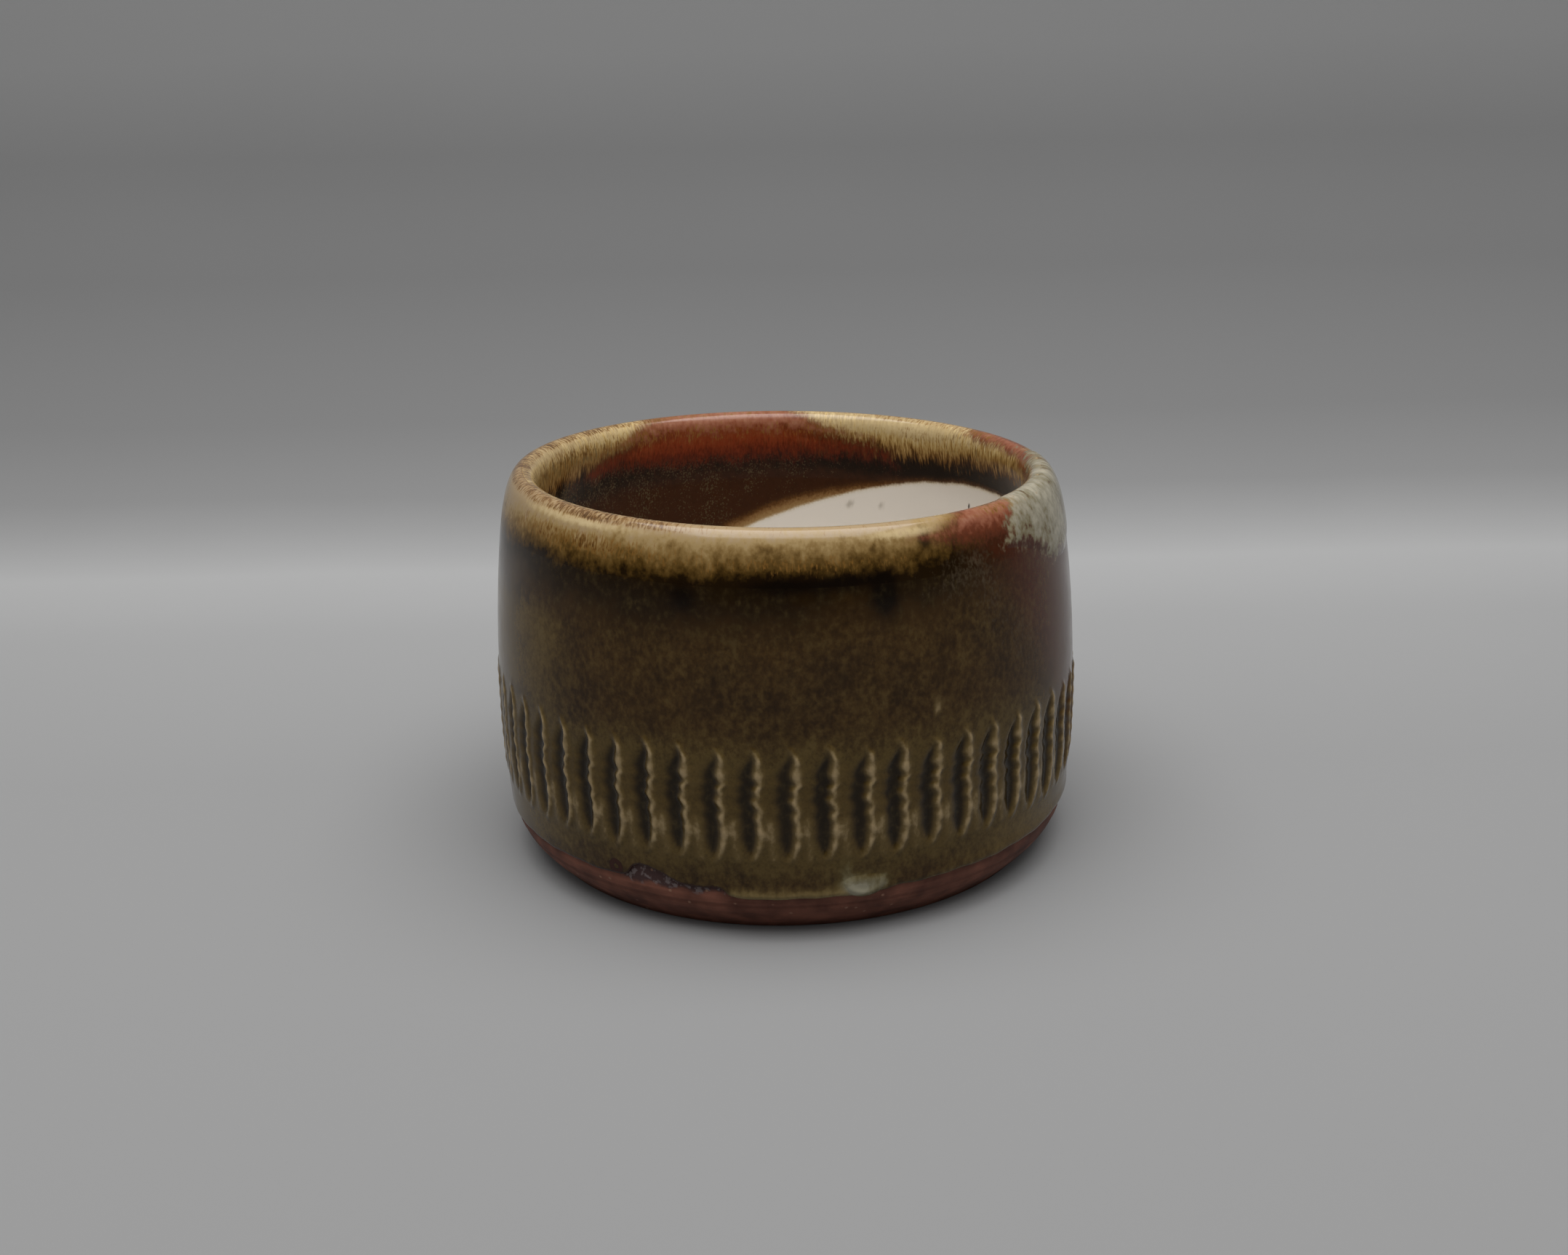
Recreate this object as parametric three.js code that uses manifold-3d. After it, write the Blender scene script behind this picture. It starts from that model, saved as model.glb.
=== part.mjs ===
// A stoneware cup without a handle, thrown on a wheel: a clay body with a turned foot and a band of
// chatter marks, and the glaze coats that were dipped, poured and splashed on it and fused in the kiln.
// Millimetres, +Z up, origin at the middle of the foot's resting face.
// A bearing is an angle in degrees round the cup, from the front (-Y) towards +X.

import * as THREE from "three";
import { mergeVertices } from "three/addons/utils/BufferGeometryUtils.js";
import Module from "manifold-3d";

const wasm = await Module();
wasm.setup();

// Thrown wall: the bare clay bellies out in one long arc and closes in a round lip.
const clayHeight = 59.0;
const bellyRadius = 44.5;
const bellyHeight = 24.3;
const wallSweepRadius = 195;
const wallThickness = 3.4;
const lipCrestInset = 3.7;
const lipOuterDrop = 7.5;
const lipInnerDrop = 5.5;
const floorThickness = 4.3;
const innerCornerRadius = 10;

// Turned foot: a bevel up to the wall, and a ring round a shallow recess.
const footRadius = 39.3;
const footEdgeChamfer = 0.5;
const bevelHeight = 6.8;
const bevelKneeDrop = 2.8;
const footRingWidth = 5.8;
const recessDepth = 2.2;
const recessSlopeWidth = 2;

// Glaze coats: how thick they fused, and the bare collar left between the foot bevel and the glaze line.
const glazeThickness = 0.5;
const bareCollar = 0.8;
const seamGap = 0.3;

// Slanted dip line inside, where the dark band ends over the white liner.
const dipDrop = 26.1;
const dipSlopeDegrees = 22.8;
const dipBearing = 118;

// Chatter band: tool marks cut into the leather-hard wall at an even pitch.
const chatterCount = 55;
const chatterFirstBearing = -1;
const chatterMiddleHeight = 21;
const chatterMarkHeight = 17;
const chatterMarkWidth = 2.6;
const chatterDepth = 0.9;
const chatterGlazeGap = 0.15;

// Pale splash of glaze that ran over the rim on the right.
const splashBearing = 72;
const splashWidth = 30;
const splashRun = 10.5;
const splashShortRun = 5;
const splashThickness = 0.4;

// Pale bead of run glaze that stopped at the glaze line.
const beadBearing = 13.5;
const beadWidth = 6.6;
const beadHeight = 4.4;
const beadProud = 1.2;
const beadRise = 1.1;

// Fineness of the facets.
const turnFacets = 48;
const wallSteps = 4;
const lipSteps = 3;
const bevelSteps = 3;
const cornerSteps = 3;
const markSides = 4;
const markSteps = 3;
const beadSides = 12;
const beadSteps = 8;
const weldTolerance = 1e-4;

// Where one stretch of the section meets the next.
const glazeLineHeight = bevelHeight + bareCollar;
const outerLipBase = clayHeight - lipOuterDrop;
const innerLipBase = clayHeight - lipInnerDrop;
const floorHeight = recessDepth + floorThickness;
const cornerHeight = floorHeight + innerCornerRadius;
const dipHeight = clayHeight - dipDrop;
const recessRadius = footRadius - footEdgeChamfer - footRingWidth;
const lipCrestRadius = wallRadius(outerLipBase) - lipCrestInset;

const radians = THREE.MathUtils.degToRad;

/** Outer radius of the bare wall at a height. */
function wallRadius(height) {
  const rise = height - bellyHeight;
  return bellyRadius - wallSweepRadius + Math.sqrt(wallSweepRadius ** 2 - rise ** 2);
}

/** How much the bare wall's radius grows for each millimetre up, at a height. */
function wallSlope(height) {
  const rise = height - bellyHeight;
  return -rise / Math.sqrt(wallSweepRadius ** 2 - rise ** 2);
}

/** Section points of the outside wall between two heights, standing off the clay by an amount. */
function outerFace(low, high, standOff) {
  const points = [];
  for (let step = 0; step <= wallSteps; step += 1) {
    const height = THREE.MathUtils.lerp(low, high, step / wallSteps);
    points.push(new THREE.Vector2(wallRadius(height) + standOff, height));
  }
  return points;
}

/** Half of the lip: a curve from the wall, tangent to it, up to the level crest. */
function lipHalf(baseRadius, baseHeight, standOff) {
  const crest = new THREE.Vector2(lipCrestRadius, clayHeight + standOff);
  const base = new THREE.Vector2(baseRadius, baseHeight);
  const kneeRadius = baseRadius + wallSlope(baseHeight) * (crest.y - baseHeight);
  const knee = new THREE.Vector2(kneeRadius, crest.y);
  return new THREE.QuadraticBezierCurve(base, knee, crest).getPoints(lipSteps);
}

/** Section points of the lip's outer half, from the wall to the crest. */
function outerLipFace(standOff) {
  return lipHalf(wallRadius(outerLipBase) + standOff, outerLipBase, standOff);
}

/** Section points of the lip's inner half, from the crest down to the inner wall. */
function innerLipFace(standOff) {
  const baseRadius = wallRadius(innerLipBase) - wallThickness - standOff;
  return lipHalf(baseRadius, innerLipBase, standOff).reverse();
}

/** Section points of the inside, from below the lip down the wall and round the corner to the axis. */
function innerFace(standOff) {
  const wall = outerFace(innerLipBase, cornerHeight, -wallThickness - standOff);
  const cornerCentre = wallRadius(cornerHeight) - wallThickness - innerCornerRadius;
  const cornerSize = innerCornerRadius - standOff;
  const corner = [];
  for (let step = 1; step <= cornerSteps; step += 1) {
    const turn = (step / cornerSteps) * (Math.PI / 2);
    const radius = cornerCentre + cornerSize * Math.cos(turn);
    corner.push(new THREE.Vector2(radius, cornerHeight - cornerSize * Math.sin(turn)));
  }
  return [...wall, ...corner, new THREE.Vector2(0, floorHeight + standOff)];
}

/** Section points of the turned foot, from the axis under the floor out to the bare collar. */
function footFace() {
  const bevelFoot = new THREE.Vector2(footRadius, footEdgeChamfer);
  const bevelTop = new THREE.Vector2(wallRadius(bevelHeight), bevelHeight);
  const kneeRadius = bevelTop.x - wallSlope(bevelHeight) * bevelKneeDrop;
  const bevelKnee = new THREE.Vector2(kneeRadius, bevelHeight - bevelKneeDrop);
  return [
    new THREE.Vector2(0, recessDepth),
    new THREE.Vector2(recessRadius - recessSlopeWidth, recessDepth),
    new THREE.Vector2(recessRadius, 0),
    new THREE.Vector2(footRadius - footEdgeChamfer, 0),
    ...new THREE.QuadraticBezierCurve(bevelFoot, bevelKnee, bevelTop).getPoints(bevelSteps),
  ];
}

/** A coat between two faces of the section that run the same way, as a closed outline. */
function coatOutline(face, near, far) {
  const outline = [...face(near), ...face(far).reverse()];
  return [...outline, outline[0]];
}

/** A closed solid from a geometry: its shared vertices are welded and faces with no area dropped. */
function solidFrom(geometry) {
  const bare = geometry.clone();
  bare.deleteAttribute("normal");
  bare.deleteAttribute("uv");
  const welded = mergeVertices(bare, weldTolerance);
  const corners = welded.index.array;
  const triangles = [];
  for (let first = 0; first < corners.length; first += 3) {
    const [a, b, c] = corners.slice(first, first + 3);
    if (a !== b && b !== c && c !== a) {
      triangles.push(a, b, c);
    }
  }
  const vertProperties = new Float32Array(welded.attributes.position.array);
  const triVerts = new Uint32Array(triangles);
  return new wasm.Manifold(new wasm.Mesh({ numProp: 3, vertProperties, triVerts }));
}

/** The solid that a section outline sweeps in one full turn about Z. */
function turned(outline) {
  return solidFrom(new THREE.LatheGeometry(outline, turnFacets).rotateX(Math.PI / 2));
}

/** Turns a geometry that was built on the +X side of the axis to a bearing. */
function toBearing(geometry, bearing) {
  return geometry.rotateZ(radians(bearing) - Math.PI / 2);
}

/** One chatter mark on a wall that stands off the clay: a slim spindle, smaller all round by a gap. */
function chatterMark(index, standOff, gap) {
  const mark = new THREE.SphereGeometry(1, markSides, markSteps).rotateX(Math.PI / 2);
  mark.scale(chatterDepth - gap, chatterMarkWidth / 2 - gap, chatterMarkHeight / 2 - gap);
  mark.translate(wallRadius(chatterMiddleHeight) + standOff, 0, chatterMiddleHeight);
  const bearing = chatterFirstBearing + (index * 360) / chatterCount;
  return solidFrom(toBearing(mark, bearing));
}

/** The half space under the slanted dip line, raised by an amount, as a large block. */
function belowDipLine(raise) {
  const span = 4 * (bellyRadius + clayHeight);
  const block = new THREE.BoxGeometry(span, span, span).translate(0, 0, raise - span / 2);
  block.rotateY(-radians(dipSlopeDegrees));
  toBearing(block, dipBearing).translate(0, 0, dipHeight);
  return solidFrom(block);
}

/** The clay body with the chatter marks cut into its wall. */
function stonewareBody() {
  let body = turned([
    ...footFace(),
    ...outerFace(glazeLineHeight, outerLipBase, 0),
    ...outerLipFace(0).slice(1),
    ...innerLipFace(0).slice(1),
    ...innerFace(0).slice(1),
  ]);
  for (let index = 0; index < chatterCount; index += 1) {
    body = body.subtract(chatterMark(index, 0, 0));
  }
  return body;
}

/** The outside coat: it fills each cut in the clay with a thin bed and dips into it in turn. */
function outerGlaze() {
  const face = (standOff) => outerFace(glazeLineHeight, outerLipBase, standOff);
  let coat = turned(coatOutline(face, glazeThickness, 0));
  for (let index = 0; index < chatterCount; index += 1) {
    coat = coat.add(chatterMark(index, 0, chatterGlazeGap));
  }
  for (let index = 0; index < chatterCount; index += 1) {
    coat = coat.subtract(chatterMark(index, glazeThickness, 0));
  }
  return coat;
}

/** The ash coat over the lip. */
function rimGlaze() {
  const face = (standOff) => [...outerLipFace(standOff), ...innerLipFace(standOff).slice(1)];
  return turned(coatOutline(face, glazeThickness, 0));
}

/** The coat on the whole inside below the lip, before the dip line parts it. */
function innerCoat() {
  return turned(coatOutline(innerFace, 0, glazeThickness).reverse());
}

/** The dark band inside, from below the lip to the dip line. */
function innerBandGlaze() {
  return innerCoat().subtract(belowDipLine(seamGap));
}

/** The white liner, from the dip line down over the floor. */
function linerGlaze() {
  return innerCoat().intersect(belowDipLine(0));
}

/** The pale splash: a thin skin over the rim coat, cut to the outline of a run. */
function shoulderSplash() {
  const near = glazeThickness + seamGap;
  const low = outerLipBase - splashRun;
  const face = (standOff) => [
    ...outerFace(low, outerLipBase, standOff),
    ...outerLipFace(standOff).slice(1),
  ];
  const skin = turned(coatOutline(face, near + splashThickness, near));
  const half = splashWidth / 2;
  const run = new THREE.Shape();
  run.moveTo(-half, 0);
  run.lineTo(-half, -splashShortRun);
  run.quadraticCurveTo(0, -splashShortRun, half / 2, -splashRun);
  run.quadraticCurveTo(half, -splashRun, half, -splashShortRun);
  run.lineTo(half, 0);
  const reach = 2 * bellyRadius;
  const cutter = new THREE.ExtrudeGeometry(run, { depth: reach, bevelEnabled: false });
  cutter.rotateX(Math.PI / 2).rotateZ(Math.PI / 2);
  cutter.translate(0, 0, clayHeight + near);
  return skin.intersect(solidFrom(toBearing(cutter, splashBearing)));
}

/** The pale bead, a flat drop that lies on the coat over the glaze line. */
function footBead() {
  const near = glazeThickness + seamGap;
  const height = glazeLineHeight + beadRise;
  const drop = new THREE.SphereGeometry(1, beadSides, beadSteps);
  drop.scale(beadProud, beadWidth / 2, beadHeight / 2);
  drop.translate(wallRadius(height) + near, 0, height);
  const wall = outerFace(0, outerLipBase, near);
  const axisFoot = new THREE.Vector2(0, 0);
  const axisTop = new THREE.Vector2(0, outerLipBase);
  return solidFrom(toBearing(drop, beadBearing)).subtract(turned([axisFoot, ...wall, axisTop]));
}

/** A named mesh of a solid with its own material. */
function piece(name, solid, color, roughness) {
  const { vertProperties, triVerts } = solid.getMesh();
  const geometry = new THREE.BufferGeometry();
  geometry.setAttribute("position", new THREE.BufferAttribute(vertProperties, 3));
  geometry.setIndex(new THREE.BufferAttribute(triVerts, 1));
  geometry.computeVertexNormals();
  const material = new THREE.MeshStandardMaterial({ color, roughness, metalness: 0 });
  const mesh = new THREE.Mesh(geometry, material);
  mesh.name = name;
  return mesh;
}

const cup = new THREE.Group();
cup.name = "chattered_cup";
cup.add(
  piece("stoneware_body", stonewareBody(), "#4a2e26", 0.85),
  piece("outer_glaze", outerGlaze(), "#3b301d", 0.25),
  piece("rim_glaze", rimGlaze(), "#8a7448", 0.22),
  piece("inner_band_glaze", innerBandGlaze(), "#33231a", 0.25),
  piece("liner_glaze", linerGlaze(), "#c9c1b6", 0.2),
  piece("shoulder_splash", shoulderSplash(), "#9a9d8c", 0.25),
  piece("foot_bead", footBead(), "#b4b89f", 0.2),
);

export default cup;
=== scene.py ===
"""A thrown stoneware cup with a chattered band and run glazes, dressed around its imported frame.

Every piece is built at the origin, in metres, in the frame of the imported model. Sizes are written
in millimetres. A bearing is an angle in degrees round the cup, from the front (-Y) towards +X.
A run is a distance along the glazed section from the crest of the lip: it counts up from nought
down the outside, and counts below nought down the inside.
"""

import logging
import math
from dataclasses import dataclass
from enum import Enum
from functools import cached_property

import bmesh
import bpy
import numpy as np
from mathutils import Matrix, Vector


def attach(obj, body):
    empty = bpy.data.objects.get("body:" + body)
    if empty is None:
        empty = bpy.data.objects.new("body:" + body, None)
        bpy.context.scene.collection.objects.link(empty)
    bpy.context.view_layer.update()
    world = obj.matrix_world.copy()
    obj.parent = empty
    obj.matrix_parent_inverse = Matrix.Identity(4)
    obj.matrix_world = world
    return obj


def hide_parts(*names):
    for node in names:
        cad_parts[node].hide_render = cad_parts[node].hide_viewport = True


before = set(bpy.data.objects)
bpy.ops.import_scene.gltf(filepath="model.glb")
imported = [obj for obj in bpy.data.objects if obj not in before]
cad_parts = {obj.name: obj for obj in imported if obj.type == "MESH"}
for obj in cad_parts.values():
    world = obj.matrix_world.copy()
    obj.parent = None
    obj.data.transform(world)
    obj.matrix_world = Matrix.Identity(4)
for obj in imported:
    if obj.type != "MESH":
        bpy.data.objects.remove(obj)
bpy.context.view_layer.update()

MM = 0.001
LOG = logging.getLogger("cup")
Field = np.ndarray

# A line round the cup: bearings, and the height or run of the line at each.
Line = tuple[tuple[float, float], ...]

# A row of a coat's outline: its run, how far under the face it lies, and one where it is a seam.
Row = tuple[float, float, float]

# Sockets of Blender's Mix node when it mixes colours.
MIX_FACTOR, MIX_UNDER, MIX_OVER, MIX_RESULT = 0, 6, 7, 2


def linear(code: str) -> tuple[float, float, float, float]:
    """Turns a colour written as sRGB hex into Blender's linear colour.

    Args:
        code: the colour, such as "#8a6b3c".

    Returns:
        Red, green, blue and an alpha of one.
    """
    parts = [int(code[start : start + 2], 16) / 255 for start in (1, 3, 5)]
    bent = [p / 12.92 if p <= 0.04045 else ((p + 0.055) / 1.055) ** 2.4 for p in parts]
    return (*bent, 1.0)


def node(
    tree: bpy.types.NodeTree,
    kind: str,
    inputs: dict | None = None,
    stops: list[tuple[float, str]] | None = None,
    **settings: object,
) -> bpy.types.Node:
    """Adds one node with its settings and links.

    Args:
        tree: the tree that gets the node.
        kind: Blender's name for the kind of node.
        inputs: what each socket gets, by its name or number: a plain value or another node's socket.
        stops: the places and colours of a colour ramp, where the node is one.
        settings: the node's own properties.

    Returns:
        The new node.
    """
    made = tree.nodes.new(kind)
    for name, value in settings.items():
        setattr(made, name, value)
    for socket, value in (inputs or {}).items():
        if isinstance(value, bpy.types.NodeSocket):
            tree.links.new(value, made.inputs[socket])
        else:
            made.inputs[socket].default_value = value
    for index, (place, code) in enumerate(stops or []):
        elements = made.color_ramp.elements
        stop = elements[index] if index < 2 else elements.new(place)
        stop.position = place
        stop.color = linear(code)
    return made


def empty_tree(made: bpy.types.Material | bpy.types.World) -> bpy.types.NodeTree:
    """Gives a new material or world an empty node tree.

    Args:
        made: the material or world.

    Returns:
        Its tree.
    """
    made.use_nodes = True
    made.node_tree.nodes.clear()
    return made.node_tree


def ease(value: Field, low: float | Field, high: float | Field) -> Field:
    """A smooth step from nought at low to one at high."""
    part = np.clip((value - low) / (high - low), 0.0, 1.0)
    return part * part * (3.0 - 2.0 * part)


def between(value: Field, low: float, rise: float, fall: float, high: float) -> Field:
    """A smooth plateau of height one, which rises from low to rise and ends from fall to high."""
    return ease(value, low, rise) * (1.0 - ease(value, fall, high))


def hump(value: Field, middle: float | Field, half: float | Field) -> Field:
    """A smooth hill of height one, which has fallen to about a third at half on either side."""
    return np.exp(-(((value - middle) / half) ** 2))


def stain(amount: Field, edge: float, steepness: float) -> Field:
    """Depth in millimetres inside a soft stain or patch of painted light, whose edge lies where its amount
    passes a level.
    """
    return steepness * (amount - edge)


def along(line: Line, bearing: Field) -> Field:
    """The height or run of a line at each bearing."""
    return np.interp(bearing, *zip(*line))


def turn_from(bearing: Field, start: float) -> Field:
    """How many degrees a bearing lies past a start, from -180 to 180."""
    return (bearing - start + 180.0) % 360.0 - 180.0


def bezier(corners: list[tuple[float, float]], count: int) -> tuple[Field, Field]:
    """Points along the curve that a few corners steer.

    Args:
        corners: radius and height of each corner. The curve starts at the first and ends at the last.
        count: how many points to give.

    Returns:
        Radii and heights of the points.
    """
    part = np.linspace(0.0, 1.0, count)
    last = len(corners) - 1
    weights = [math.comb(last, k) * part**k * (1 - part) ** (last - k) for k in range(last + 1)]
    return tuple(sum(w * value for w, value in zip(weights, axis)) for axis in zip(*corners))


@dataclass(frozen=True)
class CupSection:
    """The cup's section at the face of its glaze."""

    belly_radius: float = 45.0
    belly_height: float = 24.3
    sweep: float = 195.0
    wall: float = 4.4
    lip_start: float = 49.5
    outer_lip: float = 51.5
    inner_lip: float = 53.5
    roll_start: float = 47.0
    roll_lean: float = 1.1
    roll_bulge: float = 3.5
    roll_rise: float = 0.43
    crest_radius: float = 39.6
    crest_height: float = 58.8
    corner_centre: float = 30.94
    corner_height: float = 16.5
    corner_radius: float = 9.5
    low_end: float = 4.0
    rim_lean: float = -0.0196
    wobble: float = 0.12
    still_radius: float = 20.0

    def radius(self, height: Field) -> Field:
        """Radius of the outside face at a height on the wall."""
        rise = height - self.belly_height
        return self.belly_radius - self.sweep + np.sqrt(self.sweep**2 - rise**2)

    def slope(self, height: float) -> float:
        """How much the outside face's radius grows for each millimetre up, at a height."""
        rise = height - self.belly_height
        return -rise / math.sqrt(self.sweep**2 - rise**2)

    def lip_half(self) -> tuple[Field, Field]:
        """The outer half of the lip, tangent to the wall and level at the crest.

        Returns:
            Radii and heights from the wall to the crest.
        """
        base = self.radius(self.lip_start)
        knee = base + self.slope(self.lip_start) * (self.crest_height - self.lip_start)
        crest = (self.crest_radius, self.crest_height)
        return bezier([(base, self.lip_start), (knee, self.crest_height), crest], 60)

    def lip_roll(self) -> tuple[Field, Field]:
        """The inner half of the lip, which swells in from the wall and rolls over to the crest.

        Returns:
            Radii and heights from where it leaves the inside wall to the crest.
        """
        base = self.radius(self.roll_start) - self.wall
        knee = self.roll_start + self.roll_rise * (self.crest_height - self.roll_start)
        corners = [
            (base, self.roll_start),
            (base - self.roll_lean, knee),
            (base - self.roll_bulge, self.crest_height),
            (self.crest_radius, self.crest_height),
        ]
        return bezier(corners, 90)

    @cached_property
    def face(self) -> dict[str, Field]:
        """The whole face as closely set points, from the middle of the floor over the lip to the foot.

        Returns:
            Each point's run, radius and height, and the way the face looks there, outwards and upwards.
        """
        floor = np.linspace(0.0, self.corner_centre, 60)
        quarter = np.linspace(math.pi / 2, 0.0, 40)
        inner = np.linspace(self.corner_height, self.roll_start, 80)
        outer = np.linspace(self.lip_start, self.low_end, 120)
        corner_radius = self.corner_centre + self.corner_radius * np.cos(quarter)
        corner_height = self.corner_height - self.corner_radius * np.sin(quarter)
        inside = [
            (floor, np.full_like(floor, self.corner_height - self.corner_radius)),
            (corner_radius, corner_height),
            (self.radius(inner) - self.wall, inner),
            self.lip_roll(),
        ]
        lip_radius, lip_height = self.lip_half()
        stretches = inside + [(lip_radius[::-1], lip_height[::-1])]
        parts = [np.stack(stretch, axis=1)[:-1] for stretch in stretches]
        crest = sum(len(part) for part in parts[: len(inside)])
        points = np.concatenate(parts + [np.stack((self.radius(outer), outer), axis=1)])
        lengths = np.hypot(*np.diff(points, axis=0).T)
        run = np.concatenate([[0.0], np.cumsum(lengths)])
        tangent = np.gradient(points, run, axis=0)
        tangent /= np.linalg.norm(tangent, axis=1)[:, None]
        return {
            "run": run - run[crest],
            "radius": points[:, 0],
            "height": points[:, 1],
            "out": -tangent[:, 1],
            "up": tangent[:, 0],
        }

    def at(self, run: Field) -> tuple[Field, Field, Field, Field]:
        """Radius and height of the face at each run, and the way it faces, outwards and upwards."""
        face = self.face
        return tuple(np.interp(run, face["run"], face[key]) for key in ("radius", "height", "out", "up"))

    def run_outside(self, height: Field) -> Field:
        """The run of a height on the outside."""
        side = self.face["run"] >= 0
        return np.interp(height, self.face["height"][side][::-1], self.face["run"][side][::-1])

    def run_inside(self, height: Field) -> Field:
        """The run of a height on the inside wall or lip."""
        side = (self.face["run"] <= 0) & (self.face["radius"] > self.corner_centre)
        return np.interp(height, self.face["height"][side], self.face["run"][side])

    def stand(self, bearing: Field, radius: Field, height: Field) -> Field:
        """Puts points round the axis, with the slight wobble and the lean of a hand-thrown cup.

        Args:
            bearing: where each point lies round the cup.
            radius: its distance from the axis.
            height: its height.

        Returns:
            Places in metres, one row for each point.
        """
        angle = np.radians(bearing)
        lift = np.clip(height / self.crest_height, 0.0, 1.0)
        swing = np.sin(2 * angle + 0.8) * 0.6 + np.sin(3 * angle + 2.1) * 0.4
        radius = radius + self.wobble * swing * lift * np.clip(radius / self.still_radius, 0.0, 1.0)
        across = radius * np.sin(angle)
        height = height + self.rim_lean * lift**2 * across
        return np.stack([across, -radius * np.cos(angle), height], axis=1) * MM


SECTION = CupSection()


@dataclass(frozen=True)
class Nick:
    """A nick of the tool's edge: its height, its push to the right, its extra width and its span."""

    height: float
    push: float
    widen: float
    span: float


@dataclass(frozen=True)
class Hook:
    """The swing of a mark's end to the left.

    Attributes:
        height: where it starts.
        length: how far up it goes, below nought where it goes down.
        reach: how far it swings over that length, in degrees.
        power: how sharply it bends.
    """

    height: float
    length: float
    reach: float
    power: float


@dataclass(frozen=True)
class ChatterBand:
    """The band of marks that a springing tool chattered into the leather-hard wall.

    Each mark is a shallow scoop that ends in a raised burr on its right. The burr carries the nicks
    of the tool's edge, so the same nicks come back on every mark. Places and widths across a mark
    are in degrees, heights and depths in millimetres.
    """

    count: int = 55
    first: float = 1.0
    low: float = 12.5
    high: float = 29.4
    high_tilt: float = 0.45
    end_jitter: float = 0.3
    side_jitter: float = 0.12
    scoop_width: float = 4.5
    scoop_depth: float = 0.45
    burr_half: float = 0.68
    burr_height: float = 0.3
    bead_pitch: float = 2.1
    lip_height: float = 0.1
    patch_height: float = 0.05
    mark_left: float = 4.1
    gather: float = 0.55
    scoop_rise: float = 3.4
    scoop_fall: float = 4.4
    depth_jitter: float = 0.12
    tip_rise: float = 2.2
    tip_fall: float = 1.3
    bead_start: float = 25.6
    bead_share: float = 0.14
    stray_side: float = 2.15
    stray_lean: float = 0.14
    burr_offset: float = 0.35
    hook_limit: float = 1.2
    hooks: tuple[Hook, ...] = (Hook(15.6, -3.0, 1.35, 1.6), Hook(27.3, 2.2, 0.95, 1.5))
    nicks: tuple[Nick, ...] = (
        Nick(27.8, 0.16, -0.12, 0.7),
        Nick(25.6, -0.1, 0.34, 0.8),
        Nick(24.3, 0.3, 0.06, 0.45),
        Nick(23.3, -0.3, -0.1, 0.5),
        Nick(21.7, -0.55, 0.06, 0.7),
        Nick(20.3, 0.16, 0.04, 0.5),
        Nick(19.2, -0.2, -0.08, 0.45),
        Nick(18.0, 0.14, 0.0, 0.45),
        Nick(16.7, 0.2, 0.16, 0.7),
    )

    @property
    def pitch(self) -> float:
        """Degrees from one mark to the next."""
        return 360.0 / self.count

    @cached_property
    def jitter(self) -> Field:
        """Small differences from mark to mark: sideways, in depth, at the top and at the bottom."""
        return np.random.default_rng(7).uniform(-1.0, 1.0, (4, self.count))

    def bend(self, height: Field) -> Field:
        """How far the burr's middle lies to the right of its mark's bearing.

        Args:
            height: the height of each point.

        Returns:
            Degrees to the right. The ends of a mark swing to the left, and each nick pushes it aside.
        """
        offset = self.burr_offset
        for hook in self.hooks:
            part = np.clip((height - hook.height) / hook.length, 0.0, self.hook_limit)
            offset = offset - hook.reach * part**hook.power
        for nick in self.nicks:
            offset = offset + nick.push * hump(height, nick.height, nick.span)
        return offset

    def local(self, bearing: Field, height: Field) -> tuple[Field, Field]:
        """Where points lie across the marks.

        Args:
            bearing: where each point lies round the cup.
            height: its height.

        Returns:
            Which mark each point belongs to, and how many degrees it lies right of that mark's burr.
        """
        start = bearing - self.first - self.bend(height)
        mark = np.floor((start + self.mark_left) / self.pitch).astype(int)
        side = start - mark * self.pitch
        mark = mark % self.count
        return mark, side - self.side_jitter * self.jitter[0][mark]

    def parts(self, bearing: Field, height: Field) -> dict[str, Field]:
        """How much there is of a scoop, a burr, a stray side lip and a thick patch of glaze.

        Args:
            bearing: where each point lies round the cup.
            height: its height.

        Returns:
            Amounts by the name of the part, from nought to about one.
        """
        mark, side = self.local(bearing, height)
        low = self.low + self.end_jitter * self.jitter[3][mark]
        high = self.high + self.end_jitter * self.jitter[2][mark]
        high = high - self.high_tilt * np.sin(np.radians(bearing))
        rise = np.clip((height - low) / self.scoop_rise, 0.0, 1.0) ** 0.65
        fall = np.clip((high - height) / self.scoop_fall, 0.0, 1.0) ** 0.75
        lens = rise * fall
        width = self.scoop_width * lens
        dug = ease(side, -width, -0.5 * width)
        scoop = dug * (1.0 - ease(side, -1.8, -0.2)) * np.clip(1.6 * lens, 0.0, 1.0)
        half = self.burr_half
        for nick in self.nicks:
            half = half + nick.widen * hump(height, nick.height, nick.span)
        tips = np.clip((height - low + 0.3) / self.tip_rise, 0.0, 1.0) ** 0.7
        tips = tips * np.clip((high - height + 0.4) / self.tip_fall, 0.0, 1.0)
        wave = np.cos(2 * np.pi * (height - self.bead_start) / self.bead_pitch)
        beads = 1.0 - self.bead_share + self.bead_share * wave
        plain = (bearing - self.first) % self.pitch
        stray = self.stray_side + self.stray_lean * np.clip(17.0 - height, 0.0, 5.0)
        return {
            "scoop": scoop * (1.0 + self.depth_jitter * self.jitter[1][mark]),
            "burr": hump(side, 0.0, half) * tips * beads,
            "lip": hump(plain, stray, 0.75) * between(height, 12.2, 13.2, 18.4, 20.0),
            "patch": hump(plain, 2.3, 1.7) * hump(height, 17.3, 1.4),
        }

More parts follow.
